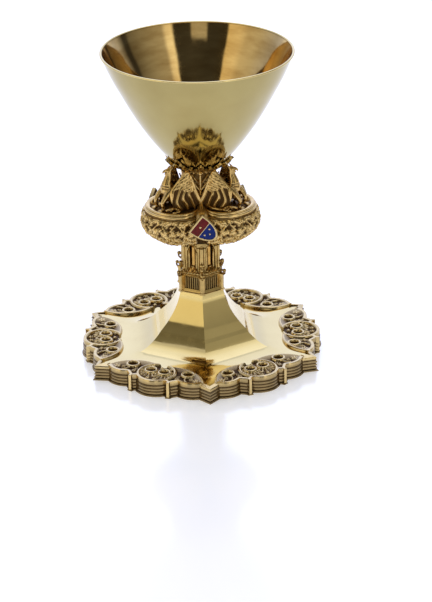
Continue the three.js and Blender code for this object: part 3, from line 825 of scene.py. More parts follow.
def plate_relief(points):
    """Height of the plate over its floor, and how worn it is."""
    p = np.column_stack([points[:, 0], np.abs(points[:, 1])])
    top = PLATE_RISE
    outline = plate_outline()
    horn = len(edge_half()) - 1
    outer, _ = nearest_on_path(p, outline[: horn + 1])
    inner, _ = nearest_on_path(p, outline[horn:])
    from_inner = inner - PLATE_INSET
    dish = top * np.clip(1 - (from_inner - PLATE_ROLL) / PLATE_DISH, 0, 1) ** 1.15
    roll = np.sqrt(np.clip(1 - (1 - from_inner / PLATE_ROLL) ** 2, 0, 1))
    dish = np.where(from_inner < PLATE_ROLL, (top + 0.25) * roll - 0.25, dish)
    frame_band = top * np.clip(1 - (outer - PLATE_INSET - 1.3) / 1.5, 0, 1)
    granules = 0.10 + 0.05 * np.sin(3.1 * p[:, 0]) * np.sin(3.4 * p[:, 1])
    height = np.max([dish, frame_band, granules], axis=0)
    worn = np.interp(height / top, [0.12, 0.35, 1.0], [0.04, 0.42, 0.64])
    worn = np.where((from_inner < PLATE_ROLL) | (outer < PLATE_INSET + 1.4), 1.0, worn)
    away = p - np.asarray(MEDALLION)
    within = np.hypot(away[:, 0], away[:, 1]) < MEDALLION_RADIUS
    height, worn = np.where(within, -0.35, height), np.where(within, 0.0, worn)
    forms = [
        ring(p, MEDALLION, MEDALLION_RADIUS - 0.2, 1.35, top * 1.15),
        ring(p, EYE, EYE_RADIUS, 1.15, top * 1.35),
        volute_leaf(p, top),
        flower(p, (57.9, 7.0), 2.0, 5, top * 0.9),
        flower(p, (61.6, 10.3), 1.7, 5, top * 0.8),
        flower(p, (74.6, 2.6), 1.9, 5, top * 0.9),
        boss(p, (58.6, 0.0), 1.4, top * 0.9),
        ring(p, HOLLOW_RING, HOLLOW_RING_RADIUS, 1.2, top * 1.15),
        flower(p, FLOWER, 3.0, 5, top * 0.95),
        leaf(p, curve((63.6, 24.4), (65.4, 24.6), (67.8, 25.4)), 1.6, top * 0.75, 3),
        leaf(p, curve((69.4, 30.8), (70.6, 32.0), (71.6, 33.6)), 1.2, top * 0.75, 2),
        leaf(p, curve((64.0, 15.6), (66.6, 15.4), (69.6, 16.4), (71.6, 18.8)), 1.7, top * 0.75, 3),
        bead(p, curve((65.6, 20.6), (68.0, 21.2), (70.4, 23.4)), 0.7, top * 0.8),
    ]
    cast = np.max(forms, axis=0)
    raised = cast > height
    height = np.maximum(height, cast)
    worn = np.where(raised, np.clip(0.25 + 0.85 * cast / top, 0, 1), worn)
    for centre, radius in ((EYE, EYE_RADIUS - 1.05), (HOLLOW_RING, HOLLOW_RING_RADIUS - 1.1)):
        hole = np.linalg.norm(p - np.asarray(centre), axis=1) < radius
        height, worn = np.where(hole, -0.5, height), np.where(hole, 0.0, worn)
    return height, worn


def volute_leaf(points, top):
    """Ribbed leaves that fan from a volute towards the outer edge."""
    away = points - np.asarray(EYE)
    distance = np.hypot(away[:, 0], away[:, 1])
    angle = np.degrees(np.arctan2(away[:, 1], away[:, 0])) - 8
    ribs = 0.6 + 0.4 * np.cos(2 * math.pi * angle / 21)
    reach = 9.2 - 1.0 * np.abs(np.sin(math.pi * angle / 21))
    body = np.clip((reach - distance) / 0.9, 0, 1) * np.clip((distance - 3.8) / 0.6, 0, 1)
    body *= np.clip((88 - np.abs(angle)) / 8, 0, 1)
    return top * (1.12 - 0.06 * distance) * ribs * body**0.6


def plate_grid():
    """Points of a plate, from its inner arc to its outer edge."""
    half = plate_outline()
    whole = np.vstack([half, half[1:-1][::-1] * (1, -1)])
    inset = offset_outline(whole, -PLATE_INSET)[: len(half)]
    angle = np.arctan2(inset[:, 1], inset[:, 0])
    radius = np.linalg.norm(inset, axis=1)
    horn = int(np.argmax(angle))
    spread = np.sin(np.linspace(-1, 1, PLATE_COLUMNS) * 1.35) / math.sin(1.35) * angle[horn]
    outer = np.interp(np.abs(spread), angle[: horn + 1], radius[: horn + 1])
    inner = np.interp(np.abs(spread), angle[horn:][::-1], radius[horn:][::-1])
    share = np.linspace(0, 1, PLATE_ROWS)[:, None]
    reach = inner + (outer - inner) * share
    return np.stack([reach * np.cos(spread), reach * np.sin(spread)], -1)


def make_scroll_plates():
    plane = plate_grid()
    height, worn = (part.reshape(plane.shape[:2]) for part in plate_relief(plane.reshape(-1, 2)))
    points = np.concatenate([plane, PLATE_FLOOR_Z + height[..., None]], -1)
    inner = points[:1].copy()
    inner[..., 2] = SHEET_TOP
    radius = np.linalg.norm(plane[-1], axis=1)[:, None]
    skirt = [
        np.column_stack([plane[-1] * (radius + out) / radius, np.full(PLATE_COLUMNS, z)])
        for out, z, _ in PLATE_SKIRT
    ]
    points = np.concatenate([inner, points, np.array(skirt)])
    skirt_worn = [np.full((1, PLATE_COLUMNS), shade) for _, _, shade in PLATE_SKIRT]
    worn = np.vstack([worn[:1] * 0.6, worn, *skirt_worn])
    faces = grid_faces(*points.shape[:2])[:, ::-1]
    for i in range(SIDES):
        plate = Casting()
        plate.add(points, faces, worn)
        turned = plate.turned((i + 0.5) * SECTOR)
        turned.piece(f"border_{i + 1}", [BORDER], "aged_gilt", f"scroll_plate_{i + 1}", sharp=50)


make_scroll_plates()


# Tower: each corner and each face is built with +X outwards and turned into place

CORE_RADIUS = 10.0
CORNER_SHAFTS = [
    # distance from the axis, distance beside the corner, radius
    (13.2, 0.0, 1.15),
    (12.3, 1.9, 0.85),
    (12.3, -1.9, 0.85),
    (11.0, 3.2, 0.7),
    (11.0, -3.2, 0.7),
]
BAY_SHAFT = (9.6, 0.0, 1.55)
GALLERY_CORE = 14.2
GALLERY_BARS = 7


def shaft(casting, centre, radius, low, high, material=0):
    """A slender column with a moulded base and capital."""
    wide = radius * 1.45
    profile = [
        (wide, low), (wide, low + 0.5), (radius * 1.1, low + 0.9), (radius * 1.3, low + 1.3),
        (radius, low + 1.7), (radius, high - 2.4), (radius * 1.3, high - 2.1), (radius, high - 1.8),
        (radius * 1.1, high - 1.2), (wide * 1.1, high - 0.5), (wide * 1.1, high),
    ]
    points, faces = lathe(profile, 14, centre)
    casting.add(points, faces, 0.85, material)


def hooked_crocket(casting, reach, low, size):
    """A leafy bud on a stalk that hooks outwards and up."""
    path = curve(
        (reach - 2.2, 0, low - 0.8), (reach - 0.2, 0, low), (reach + size, 0, low + 0.7 * size),
        (reach + 1.1 * size, 0, low + 1.5 * size), steps=10,
    )
    casting.add(*tube(path, np.linspace(0.75, 0.5, 10)), 0.6)
    top = (reach + 0.75 * size, 0, low + 2.1 * size)
    casting.add(*ball(top, size * 0.85, 0.22), 0.8)
    for side in (-1, 1):
        leaf_path = curve(
            (reach - 0.4, 0.2 * side, low + 0.2), (reach + 0.3, side * size, low + size),
            (reach + 1.2, side * 1.3 * size, low + 1.9 * size), steps=8,
        )
        casting.add(*tube(leaf_path, np.linspace(0.5, 0.25, 8), flat=0.6), 0.75)


def stem_corner():
    corner = Casting()
    for reach, side, radius in CORNER_SHAFTS:
        shaft(corner, (reach, side), radius, STEM_BASE + 0.4, KNOP_BASE - 0.6)
    corner.add(*box((9, -3.6, STEM_BASE), (14.4, 3.6, STEM_BASE + 0.9), 0.1), 0.7)
    corner.add(*box((9, -3.2, KNOP_BASE - 1.3), (14.6, 3.2, KNOP_BASE + 1.2), 0), 0.6)
    hooked_crocket(corner, 14.7, STEM_BASE + 3.6, 1.6)
    for side in (-1, 1):
        rib = curve(
            (12.2, side * 2.6, KNOP_BASE - 5.4), (11.4, side * 3.7, KNOP_BASE - 2.6),
            (10.6, side * 5.4, KNOP_BASE - 0.8), steps=10,
        )
        corner.add(*tube(rib, 0.55), 0.85)
    return corner


def stem_face():
    """A bay: its wall, its bright shaft, and a leafy gable that falls outwards at its foot."""
    face = Casting()
    apothem = CORE_RADIUS * math.cos(SECTOR / 2)
    face.add(*box((apothem - 1.5, -5.2, STEM_BASE), (apothem, 5.2, KNOP_BASE), 0, 0.05), 0.05)
    reach, side, radius = BAY_SHAFT
    shaft(face, (reach, side), radius, STEM_BASE + 3.4, KNOP_BASE - 0.8, material=1)
    rows = np.linspace(0, 1, 14)[:, None]
    across = np.linspace(-1, 1, 19)[None, :]
    half_width = 4.4 - 1.9 * rows
    out = 13.6 - 3.6 * rows
    rise = STEM_BASE + 0.5 + 4.4 * rows**0.8
    crown = 0.5 * np.cos(across * math.pi / 2) + 0.22 * np.cos(6 * math.pi * across * (1 - 0.4 * rows))
    points = np.stack(np.broadcast_arrays(out + crown, half_width * across, rise + crown * 0.6), -1)
    relief = np.broadcast_to(0.75 + 0.5 * crown, points.shape[:2])
    face.add(points, grid_faces(14, 19), relief, material=1)
    face.add(*box((10, -4.4, STEM_BASE), (13.4, 4.4, STEM_BASE + 0.9), 0.1), 0.6)
    face.add(*ball((11.4, 0, STEM_BASE + 4.2), 0.95, 0.25), 0.9)
    for side in (-1, 1):
        face.add(*ball((12.6, side * 3.2, STEM_BASE + 1.7), 0.75, 0.2), 0.85)
    return face


def gallery_corner():
    corner = Casting()
    corner.add(*box((12.6, -1.5, GALLERY_BASE), (16.6, 1.5, STEM_BASE - 1.6), 0.05, 0.45), 0.85)
    corner.add(*box((12.6, -1.9, GALLERY_BASE), (17.0, 1.9, GALLERY_BASE + 1.5), 0.15, 0.3), 0.9)
    corner.add(*box((12.6, -1.8, STEM_BASE - 3.2), (16.9, 1.8, STEM_BASE - 1.9), 0.1, 0.3), 0.9)
    hooked_crocket(corner, 16.4, STEM_BASE - 3.0, 1.5)
    corner.add(*ball((15.4, 0, STEM_BASE + 0.1), 1.0, 0.2), 0.9)
    return corner


def gallery_face():
    """A panel of upright bars between a sloped base and a leafy cresting."""
    face = Casting()
    wall = GALLERY_CORE * math.cos(SECTOR / 2)
    spacing = 11.4 / GALLERY_BARS
    face.add(*box((wall - 1.5, -7.2, GALLERY_BASE), (wall - 0.7, 7.2, STEM_BASE), 0, 0.05), 0.0)
    for k in range(GALLERY_BARS):
        side = (k - (GALLERY_BARS - 1) / 2) * spacing
        low = (wall - 0.1, side, GALLERY_BASE + 2.2)
        high = (wall - 0.1, side, STEM_BASE - 2.6)
        face.add(*tube(np.linspace(low, high, 3), 0.42), 0.55)
        if k:
            arch = curve(
                (wall + 0.1, side - spacing, STEM_BASE - 3.4),
                (wall + 0.2, side - spacing / 2, STEM_BASE - 2.5),
                (wall + 0.1, side, STEM_BASE - 3.4),
                steps=7,
            )
            face.add(*tube(arch, 0.3), 0.65)
    for k in range(6):
        side = (k - 2.5) * 2.1
        face.add(*ball((wall + 0.9, side, STEM_BASE - 0.1), 0.78, 0.25), 0.85)
    return face


GALLERY_MOULDINGS = [
    [(16.7, 46.0), (16.7, 46.5), (16.1, 46.8), (15.9, 47.3), (15.1, 47.9), (14.9, 48.4), (13.4, 48.7)],
    [(13.4, 57.2), (14.6, 57.6), (15.5, 58.2), (15.6, 58.8), (15.0, 59.2), (14.9, 59.8), (11.0, 60.0)],
]
STEM_MOULDINGS = [
    [(14.8, 60.0), (14.8, 60.5), (14.2, 60.8), (10.0, 61.0)],
    [(10.0, 77.6), (12.0, 78.2), (12.6, 79.0), (13.8, 79.6), (13.9, 80.6), (13.2, 81.0), (13.0, 82.2)],
]


def make_tower():
    for name, node, corner, face, mouldings, core, low, high in (
        ("tower_gallery", "gallery", gallery_corner, gallery_face, GALLERY_MOULDINGS, 12.4,
         GALLERY_BASE, STEM_BASE),
        ("tower_stem", "stem", stem_corner, stem_face, STEM_MOULDINGS, 8.4, STEM_BASE, KNOP_BASE + 1),
    ):
        tower = Casting()
        points, faces = lathe([(core, low), (core, high)], SIDES)
        tower.add(points, faces, 0)
        for profile in mouldings:
            points, faces = lathe(profile, SIDES)
            tower.add(points, faces, 0.8)
        for i in range(SIDES):
            tower.join(corner().turned(i * SECTOR))
            tower.join(face().turned((i + 0.5) * SECTOR))
        tower.piece(name, [TOWER, BAY], "aged_gilt", node, sharp=35)


make_tower()

# Knop: three lobes covered in foliage under a smooth double moulding

KNOP_SHARES = [
    # rise and width as shares
    (0, 0.42),
    (0.06, 0.5),
    (0.115, 0.64),
    (0.2, 0.79),
    (0.33, 0.905),
    (0.49, 0.985),
    (0.66, 1.0),
    (0.8, 0.975),
    (0.88, 0.93),
]
KNOP_MOULDING = [
    # radius of a lobe, height below the top, how worn
    (21.7, 2.9, 0.3),
    (22.1, 2.3, 0.9),
    (22.1, 1.6, 1.0),
    (21.5, 1.1, 0.7),
    (20.9, 0.95, 0.2),
    (21.1, 0.6, 0.9),
    (21.0, 0.0, 1.0),
    (20.4, -0.35, 1.0),
    (19.4, -0.3, 0.95),
    (18.8, 0.3, 0.5),
    (18.3, 1.4, 0.3),
    (12.0, 1.6, 0.4),
    (3.0, 1.6, 0.4),
]
KNOP_HALF_COLUMNS = 98
KNOP_LEVELS = 80
FOLIAGE_RISE = 2.1
FOLIAGE_SINK = 1.3  # how far its floor lies under the plain shape
FOLIAGE_LOW = 4.5  # the pattern is laid twice: lower down,
FOLIAGE_HIGH = 9.6  # and higher up,
FOLIAGE_TURN = 38.0  # where it runs the other way round
CLEFT_DEPTH = 0.36  # share of the radius that the top mouldings lose between two lobes
CLEFT_WIDTH = math.radians(9)


def sprig(points, root, tip, width, top):
    """A leaf of three lobes on a short stalk."""
    root, tip = np.asarray(root, float), np.asarray(tip, float)
    run = tip - root
    side = np.array((-run[1], run[0]))
    middle = leaf(points, curve(root, root + 0.5 * run + 0.06 * side, tip), width, top, 4)
    heights = [middle]
    for sign in (-1, 1):
        start = root + 0.18 * run
        end = root + 0.62 * run + sign * 0.52 * side
        bend = (start + end) / 2 + 0.12 * run - sign * 0.02 * side
        heights.append(leaf(points, curve(start, bend, end), width * 0.72, top * 0.92, 3))
    return np.max(heights, axis=0)


def knop_foliage(points):
    """Height of the foliage over a half lobe: along from the lobe's middle, and up."""
    top = FOLIAGE_RISE
    vine = curve((-3, 10), (3, 14.5), (9, 9.5), (15, 14.5), (21, 9.5), (27, 14.5), (33, 9.5), (38, 12), steps=70)
    heights = [bead(points, vine, 0.62, top * 0.8)]
    sprigs = [
        ((0.0, 6.0), (0.0, 0.8)), ((0.0, 14.0), (0.0, 21.4)),
        ((4.2, 13.4), (8.6, 20.4)), ((5.6, 9.8), (4.6, 3.2)),
        ((10.2, 10.8), (13.0, 5.0)), ((9.8, 12.2), (12.6, 18.4)),
        ((15.8, 14.6), (18.6, 20.6)), ((17.2, 10.6), (18.4, 4.2)),
        ((21.6, 10.2), (25.6, 5.0)), ((22.0, 12.6), (24.4, 18.8)),
        ((27.6, 14.2), (30.6, 20.2)), ((28.8, 10.8), (31.4, 5.2)),
        ((33.6, 12.4), (36.6, 17.4)), ((34.0, 8.6), (36.4, 4.8)),
    ]
    for root, tip in sprigs:
        heights.append(sprig(points, root, tip, 2.1, top))
    for along, up, radius in (
        (3.6, 18.2, 1.5), (9.2, 5.0, 1.6), (8.6, 15.2, 1.2), (14.4, 9.2, 1.6), (14.8, 20.0, 1.2),
        (20.2, 17.0, 1.6), (22.2, 5.2, 1.4), (26.4, 10.4, 1.6), (26.0, 20.8, 1.1), (32.0, 15.6, 1.4),
        (35.4, 11.0, 1.3),
    ):
        heights.append(flower(points, (along, up), radius * 1.25, 5, top * 1.05, along))
    for along, up in ((2.2, 2.2), (6.8, 7.6), (12.6, 14.0), (16.4, 2.4), (18.8, 13.0), (24.0, 14.6), (29.6, 17.0),
                      (30.4, 9.0), (6.6, 21.2), (21.6, 21.6), (33.2, 20.4), (10.8, 2.4), (27.6, 3.2)):
        heights.append(boss(points, (along, up), 0.95, top * 0.85))
    return np.max(heights, axis=0)


def leaf_tips(along, below):
    """A row of uneven leaf tips that ends the foliage close under the moulding."""
    row = np.sqrt(np.clip(1 - ((below - 2.2) / 1.8) ** 2, 0, 1))
    return 0.95 * FOLIAGE_RISE * row * (0.6 + 0.4 * np.cos(2.5 * along + 1.4 * np.sin(0.9 * along)))


def trefoil(from_lobe, offset, radius):
    """Radius of three joined circles at an angle from the nearest lobe's middle."""
    side = offset * np.sin(from_lobe)
    return offset * np.cos(from_lobe) + np.sqrt(np.maximum(radius**2 - side**2, 0))


def make_knop():
    half = np.linspace(0, LOBE_SECTOR / 2, KNOP_HALF_COLUMNS)
    full = np.concatenate([-half[:0:-1], half])[:-1]
    azimuths = np.concatenate([full + (i + 0.5) * LOBE_SECTOR for i in range(LOBES)])
    from_lobe = np.tile(full, LOBES)
    levels = catmull_rom(KNOP_SHARES, np.linspace(0, 1, KNOP_LEVELS))
    levels[:, 0] = np.clip(levels[:, 0], 0, 1)
    widest = trefoil(half, LOBE_OFFSET, KNOP_LOBE_RADIUS)
    plan = polar(widest, half, 0)
    along = np.concatenate([[0], np.cumsum(np.linalg.norm(np.diff(plan, axis=0), axis=1))])
    rise = levels[:, 0] * KNOP_HEIGHT
    reach = levels[:, 1] * (LOBE_OFFSET + KNOP_LOBE_RADIUS)
    steps = np.hypot(np.diff(rise), np.diff(reach))
    up = np.concatenate([[0], np.cumsum(steps)]) - 12.0
    grid = np.stack(np.broadcast_arrays(along[None, :], up[:, None]), -1)
    flat = grid.reshape(-1, 2)
    lower = knop_foliage(flat + (0, FOLIAGE_LOW))
    upper = knop_foliage(np.column_stack([FOLIAGE_TURN - flat[:, 0], flat[:, 1] - FOLIAGE_HIGH]))
    height = np.maximum(lower, upper).reshape(grid.shape[:2])
    height = np.maximum(height, leaf_tips(along[None, :], up[-1] - up[:, None]))
    fade = np.clip((37.8 - along) / 2.5, 0, 1)[None, :] * np.clip((up + 1.5) / 2.5, 0, 1)[:, None]
    fade = fade * np.clip((up[-1] - 0.2 - up) / 0.8, 0, 1)[:, None]
    height, worn = height * fade - FOLIAGE_SINK * np.clip(fade * 3, 0, 1), height * fade / FOLIAGE_RISE
    # A floor under the wear, raised towards the top: painted light in the band that the moulding's overhang shades
    worn = np.maximum(worn, 0.10 + 0.30 * np.clip((up - 22.5) / 4, 0, 1)[:, None])
    mirrored = np.concatenate([height[:, :0:-1], height], axis=1)[:, :-1]
    worn = np.concatenate([worn[:, :0:-1], worn], axis=1)[:, :-1]
    slope = np.arctan2(np.gradient(reach), np.gradient(rise))[:, None]
    plain = np.array([trefoil(from_lobe, LOBE_OFFSET * w, KNOP_LOBE_RADIUS * w) for w in levels[:, 1]])
    stand = np.tile(mirrored, (1, LOBES))
    body = polar(plain + stand * np.cos(slope), azimuths, KNOP_BASE + rise[:, None] - stand * np.sin(slope))
    knop = Casting()
    worn = np.tile(worn, (1, LOBES))
    knop.add(body, grid_faces(len(body), len(azimuths), closed=True), worn)
    cleft = 1 - CLEFT_DEPTH * np.exp(-(((LOBE_SECTOR / 2 - np.abs(from_lobe)) / CLEFT_WIDTH) ** 2))
    rings = [
        polar(cleft * trefoil(from_lobe, min(LOBE_OFFSET, radius * 0.86), radius), azimuths, KNOP_TOP - below)
        for radius, below, _ in KNOP_MOULDING
    ]
    rings = np.array([body[-1], *rings])
    worn = np.repeat([0.4] + [w for _, _, w in KNOP_MOULDING], len(azimuths))
    knop.add(rings, grid_faces(len(rings), len(azimuths), closed=True), worn)
    knop.piece("knop_casting", [CAST], "aged_gilt", "knop", sharp=60)


make_knop()


# Beasts: seated, with wings raised. +X points outwards, heights are over the well's floor.

BEAST_VOXEL = 0.36
WING_ROOT = (26.0, 4.6)  # the shoulder: its reach and its distance from the middle
WING_SPREAD = math.radians(14)
WING_LEAD = [
    # back from the shoulder, height
    (10.4, 25.6), (8.6, 23.6), (5.8, 20.4), (2.6, 16.8), (-0.4, 13.2), (-0.9, 9.6), (-0.4, 5.4), (1.0, 1.0),
]
WING_TRAIL = [
    (12.0, 25.4), (13.8, 22.4), (15.5, 18.6), (17.1, 14.6), (18.7, 10.6), (20.2, 7.0), (21.4, 3.8), (22.4, 0.8),
]
WING_FEATHERS = 4.5
COVERT_PITCH = 2.5
WING_FLARE = 4.2  # how far the foot of a wing swings outwards
COVERT_FOOT = 12.6  # height where the small scales give way to long feathers


def melted(casting, voxel, soften):
    """The casting's overlapping forms fused into one skin, worn where it bulges."""
    raw = bpy.data.meshes.new("raw")
    raw.from_pydata(np.concatenate(casting.points).tolist(), [], casting.faces)
    holder = bpy.data.objects.new("raw", raw)
    bpy.context.scene.collection.objects.link(holder)
    melt = holder.modifiers.new("melt", "REMESH")
    melt.mode = "VOXEL"
    melt.voxel_size = voxel
    soft = holder.modifiers.new("soften", "SMOOTH")
    soft.factor = 0.5
    soft.iterations = soften
    evaluated = holder.evaluated_get(bpy.context.evaluated_depsgraph_get())
    skin = evaluated.to_mesh()
    points, normals = np.empty((len(skin.vertices), 3)), np.empty((len(skin.vertices), 3))
    skin.vertices.foreach_get("co", points.ravel())
    skin.vertices.foreach_get("normal", normals.ravel())
    corners = np.empty(len(skin.loops), np.int64)
    skin.loops.foreach_get("vertex_index", corners)
    edges = np.empty((len(skin.edges), 2), np.int64)
    skin.edges.foreach_get("vertices", edges.ravel())
    evaluated.to_mesh_clear()
    bpy.data.objects.remove(holder)
    bpy.data.meshes.remove(raw)
    fused = Casting()
    fused.add(points, corners.reshape(-1, 4), wear(points, normals, edges))
    return fused


def wear(points, normals, edges, flat=0.62, gain=3.4):
    """How worn each point is: more on convex edges, less in hollows."""
    a, b = edges[:, 0], edges[:, 1]
    run = points[b] - points[a]
    run /= np.maximum(np.linalg.norm(run, axis=1), 1e-9)[:, None]
    count = np.bincount(a, minlength=len(points)) + np.bincount(b, minlength=len(points))
    hollow = np.bincount(a, (normals[a] * run).sum(1), len(points))
    hollow -= np.bincount(b, (normals[b] * run).sum(1), len(points))
    hollow /= np.maximum(count, 1)
    for _ in range(4):
        spread = np.bincount(a, hollow[b], len(points)) + np.bincount(b, hollow[a], len(points))
        hollow = 0.4 * hollow + 0.6 * spread / np.maximum(count, 1)
    return np.clip(flat - gain * hollow, 0, 1)


def beast_trunk(body):
    spine = curve(
        (13.6, 0, 3.6), (16.8, 0, 6.6), (21.0, 0, 9.6), (24.6, 0, 13.0), (25.0, 0, 17.4), (23.9, 0, 21.6),
        (23.5, 0, 24.8), steps=40,
    )
    widths = np.interp(np.linspace(0, 1, 40), [0, 0.2, 0.42, 0.58, 0.72, 0.88, 1], [3.4, 5.0, 5.2, 4.5, 3.0, 2.2, 2.1])
    body.add(*tube(spine, widths, sides=20))
    body.add(*ball((23.6, 0, 25.4), 2.25))
    beak = curve((24.6, 0, 26.0), (26.4, 0, 26.3), (27.8, 0, 25.7), (28.1, 0, 24.8), steps=10)
    body.add(*tube(beak, np.linspace(1.35, 0.4, 10), sides=10))
    body.add(*tube(curve((24.4, 0, 24.9), (25.8, 0, 24.3), (26.9, 0, 23.8), steps=8), np.linspace(1.0, 0.4, 8)))
    for side in (-1, 1):
        ear = curve((23.6, side * 1.2, 26.6), (22.2, side * 1.7, 27.5), (20.9, side * 1.8, 28.2), steps=8)
        body.add(*tube(ear, np.linspace(0.8, 0.35, 8)))
        body.add(*ball((24.9, side * 1.75, 26.2), 0.62))
    for drop, out in ((15.4, 29.8), (18.4, 27.6), (12.4, 29.6)):
        tuft = curve((26.0, 0, drop), ((26.4 + out) / 2, 0, drop + 0.3), (out, 0, drop - 0.7), steps=8)
        body.add(*tube(tuft, np.linspace(1.5, 0.35, 8), flat=0.6))


WELL_CURL = [
    # a scrolled tendril beside the paws
    (29.6, 6.8, 0.8), (31.4, 9.0, 2.6), (28.4, 10.8, 3.6), (25.4, 9.4, 2.6), (23.4, 11.6, 1.6),
    (25.2, 14.4, 2.2), (28.4, 13.2, 1.2),
]


def beast_legs(body):
    for side in (-1, 1):
        body.add(*ball((24.6, side * 3.4, 12.4), 3.1))
        body.add(*ball((17.6, side * 5.0, 4.9), 4.5))
        fore = curve(
            (26.2, side * 3.8, 12.4), (29.4, side * 4.2, 9.2), (31.4, side * 4.0, 5.6), (30.6, side * 3.9, 2.6),
            (31.2, side * 3.9, 1.0), steps=24,
        )
        body.add(*tube(fore, np.interp(np.linspace(0, 1, 24), [0, 0.5, 0.8, 1], [2.1, 1.3, 1.0, 1.3]), sides=12))
        hind = curve((19.0, side * 6.4, 4.4), (22.8, side * 6.9, 3.2), (23.6, side * 6.6, 1.1), steps=16)
        body.add(*tube(hind, np.linspace(2.4, 1.3, 16), sides=12))
        for paw, spread, y in (((31.0, 3.9), 0.95, 3.9), ((24.6, 6.6), 1.05, 6.6)):
            for toe in (-1, 0, 1):
                start = (paw[0], side * (paw[1] + 0.25 * toe), 1.2)
                knuckle = (paw[0] + 1.8, side * (y + spread * toe), 1.3)
                end = (paw[0] + 3.1, side * (y + 1.25 * spread * toe), 0.5)
                body.add(*tube(curve(start, knuckle, end, steps=9), np.linspace(0.95, 0.5, 9), sides=10))
        curl = curve(*[(x, side * y, z) for x, y, z in WELL_CURL], steps=44)
        body.add(*tube(curl, np.interp(np.linspace(0, 1, 44), [0, 0.4, 1], [0.65, 0.95, 0.7]), sides=10))
        body.add(*ball(curl[-1], 1.25, 0.2))
    tail = curve(
        (13.8, 0, 3.0), (10.6, -3.4, 1.6), (10.4, -8.4, 1.2), (14.2, -12.2, 1.4), (20.2, -13.6, 1.6),
        (26.0, -12.6, 1.4), steps=40,
    )
    body.add(*tube(tail, np.interp(np.linspace(0, 1, 40), [0, 0.9, 1], [1.2, 0.9, 0.9]), sides=12))
    body.add(*ball((26.6, -12.4, 1.6), 1.35, 0.2))


def scales(along, up, pitch):
    """Rows of small overlapping domes, each row shifted by half a step."""
    best = np.zeros(np.broadcast(along, up).shape)
    for half in (0, 0.5):
        row = np.floor(up / pitch + half)
        middle_up = (row + 0.5 - half) * pitch
        shift = 0.5 * pitch * (2 * half) + 0.2 * pitch * np.sin(2.3 * row)
        middle = (np.floor((along + shift) / pitch) + 0.5) * pitch - shift
        distance = np.hypot(along - middle, (up - middle_up) * 0.9) / (0.56 * pitch)
        dome = np.sqrt(np.clip(1 - distance**2, 0, 1)) * (0.8 + 0.2 * np.sin(1.7 * row + 2.9 * middle))
        best = np.maximum(best, dome)
    return best


def feather_relief(u, v, from_lead, height):
    """Relief of a wing: small scales above, long wavy feathers below, a rim all round."""
    small = scales(from_lead + 0 * height, height + 0.45 * from_lead, COVERT_PITCH)
    wave = 0.24 * np.sin(2 * math.pi * (1.3 * v + 0.5 * u)) + 0.10 * np.sin(2 * math.pi * 2.4 * v + 9 * u)
    ribs = (0.5 + 0.5 * np.cos(2 * math.pi * (WING_FEATHERS * u + wave))) ** 2.6
    between_ribs = 0.16 * (0.5 - 0.5 * np.cos(2 * math.pi * (WING_FEATHERS * u + wave))) ** 4
    upper = np.clip((height - COVERT_FOOT - 1.8 * np.sin(7 * u)) / 1.2, 0, 1)
    relief = 1.35 * small * upper + (1.5 * ribs + between_ribs) * (1 - upper)
    lead = 1.25 * np.sqrt(np.clip(1 - (u / 0.075) ** 2, 0, 1)) * np.clip((height - 8) / 3, 0, 1)
    trail = 1.7 * np.sqrt(np.clip(1 - ((u - 0.93) / 0.075) ** 2, 0, 1))
    return np.maximum(relief, np.maximum(lead, trail))


def make_wing(side):
    rows, columns = 92, 60
    v, u = np.linspace(0, 1, rows)[:, None], np.linspace(0, 1, columns)[None, :]
    lead = catmull_rom(WING_LEAD, v[:, 0])[:, None]
    trail = catmull_rom(WING_TRAIL, v[:, 0])[:, None]
    plan = lead + (trail - lead) * u[..., None]
    back, height = plan[..., 0], plan[..., 1].copy()
    tips = np.abs(np.cos(math.pi * (WING_FEATHERS * u + 0.5)))
    height -= 1.3 * (1 - tips) * np.clip((v - 0.86) / 0.14, 0, 1) ** 2 - 0.4
    height += 0.55 * np.sin(math.pi * u) * np.clip(1 - v / 0.08, 0, 1)
    relief = feather_relief(u, v, back - lead[..., 0], height)
    bulge = 1.3 * np.sin(math.pi * u) * np.sin(math.pi * np.clip(v * 1.05, 0, 1)) + 0.9 * (1 - v) ** 3
    bulge += WING_FLARE * (1 - 0.45 * u) * v**2
    rim = np.minimum(1, np.minimum(np.minimum(u, 1 - u) * 14, np.minimum(v, 1 - v) * 18))
    faces = grid_faces(rows, columns)
    wing = Casting()
    for outward in (1, -1):
        thick = (0.45 + (0.78 if outward == 1 else 0.45) * relief) * np.sqrt(np.clip(rim, 0, 1))
        away = WING_ROOT[1] + back * math.sin(WING_SPREAD) + bulge + outward * thick
        points = np.stack([WING_ROOT[0] - back * math.cos(WING_SPREAD), side * away, WELL_FLOOR + height], -1)
        flip = faces if side * outward < 0 else faces[:, ::-1]
        wing.add(points, flip, np.clip(0.08 + 0.70 * relief, 0, 1))
    return wing


def make_beasts():
    body = Casting()
    beast_trunk(body)
    beast_legs(body)
    beast = melted(body, BEAST_VOXEL, 1)
    beast.points = [points + (0, 0, WELL_FLOOR) for points in beast.points]
    for side in (-1, 1):
        beast.join(make_wing(side))
    for i in range(LOBES):
        turned = beast.turned((i + 0.5) * LOBE_SECTOR)
        turned.piece(f"griffin_{i + 1}", [BEAST], "aged_gilt", f"beast_{i + 1}", sharp=70)


make_beasts()


# Shields: enamel in a gold border, divided across

SHIELD_WIDTH = 15.0
SHIELD_HEIGHT = 17.0
SHIELD_TURN = math.radians(51.5)
SHIELD_PLACE = (33.4, 1.7, KNOP_TOP - 9.7)
SHIELD_THICKNESS = 2.0
SHIELD_BORDER = 1.25
SHIELD_DIVISION = 0.41  # share of the height, from the top
SHIELD_CHARGES = [
    # across, share of the height from the top, radius, corners
    (0.0, 0.24, 1.15, 4),
    (-2.6, 0.56, 0.72, 0),
    (0.0, 0.70, 0.72, 0),
    (2.6, 0.56, 0.72, 0),
]


def shield_half_width(share):
    return SHIELD_WIDTH / 2 * np.sqrt(np.clip(1 - share**2.4, 0, 1))


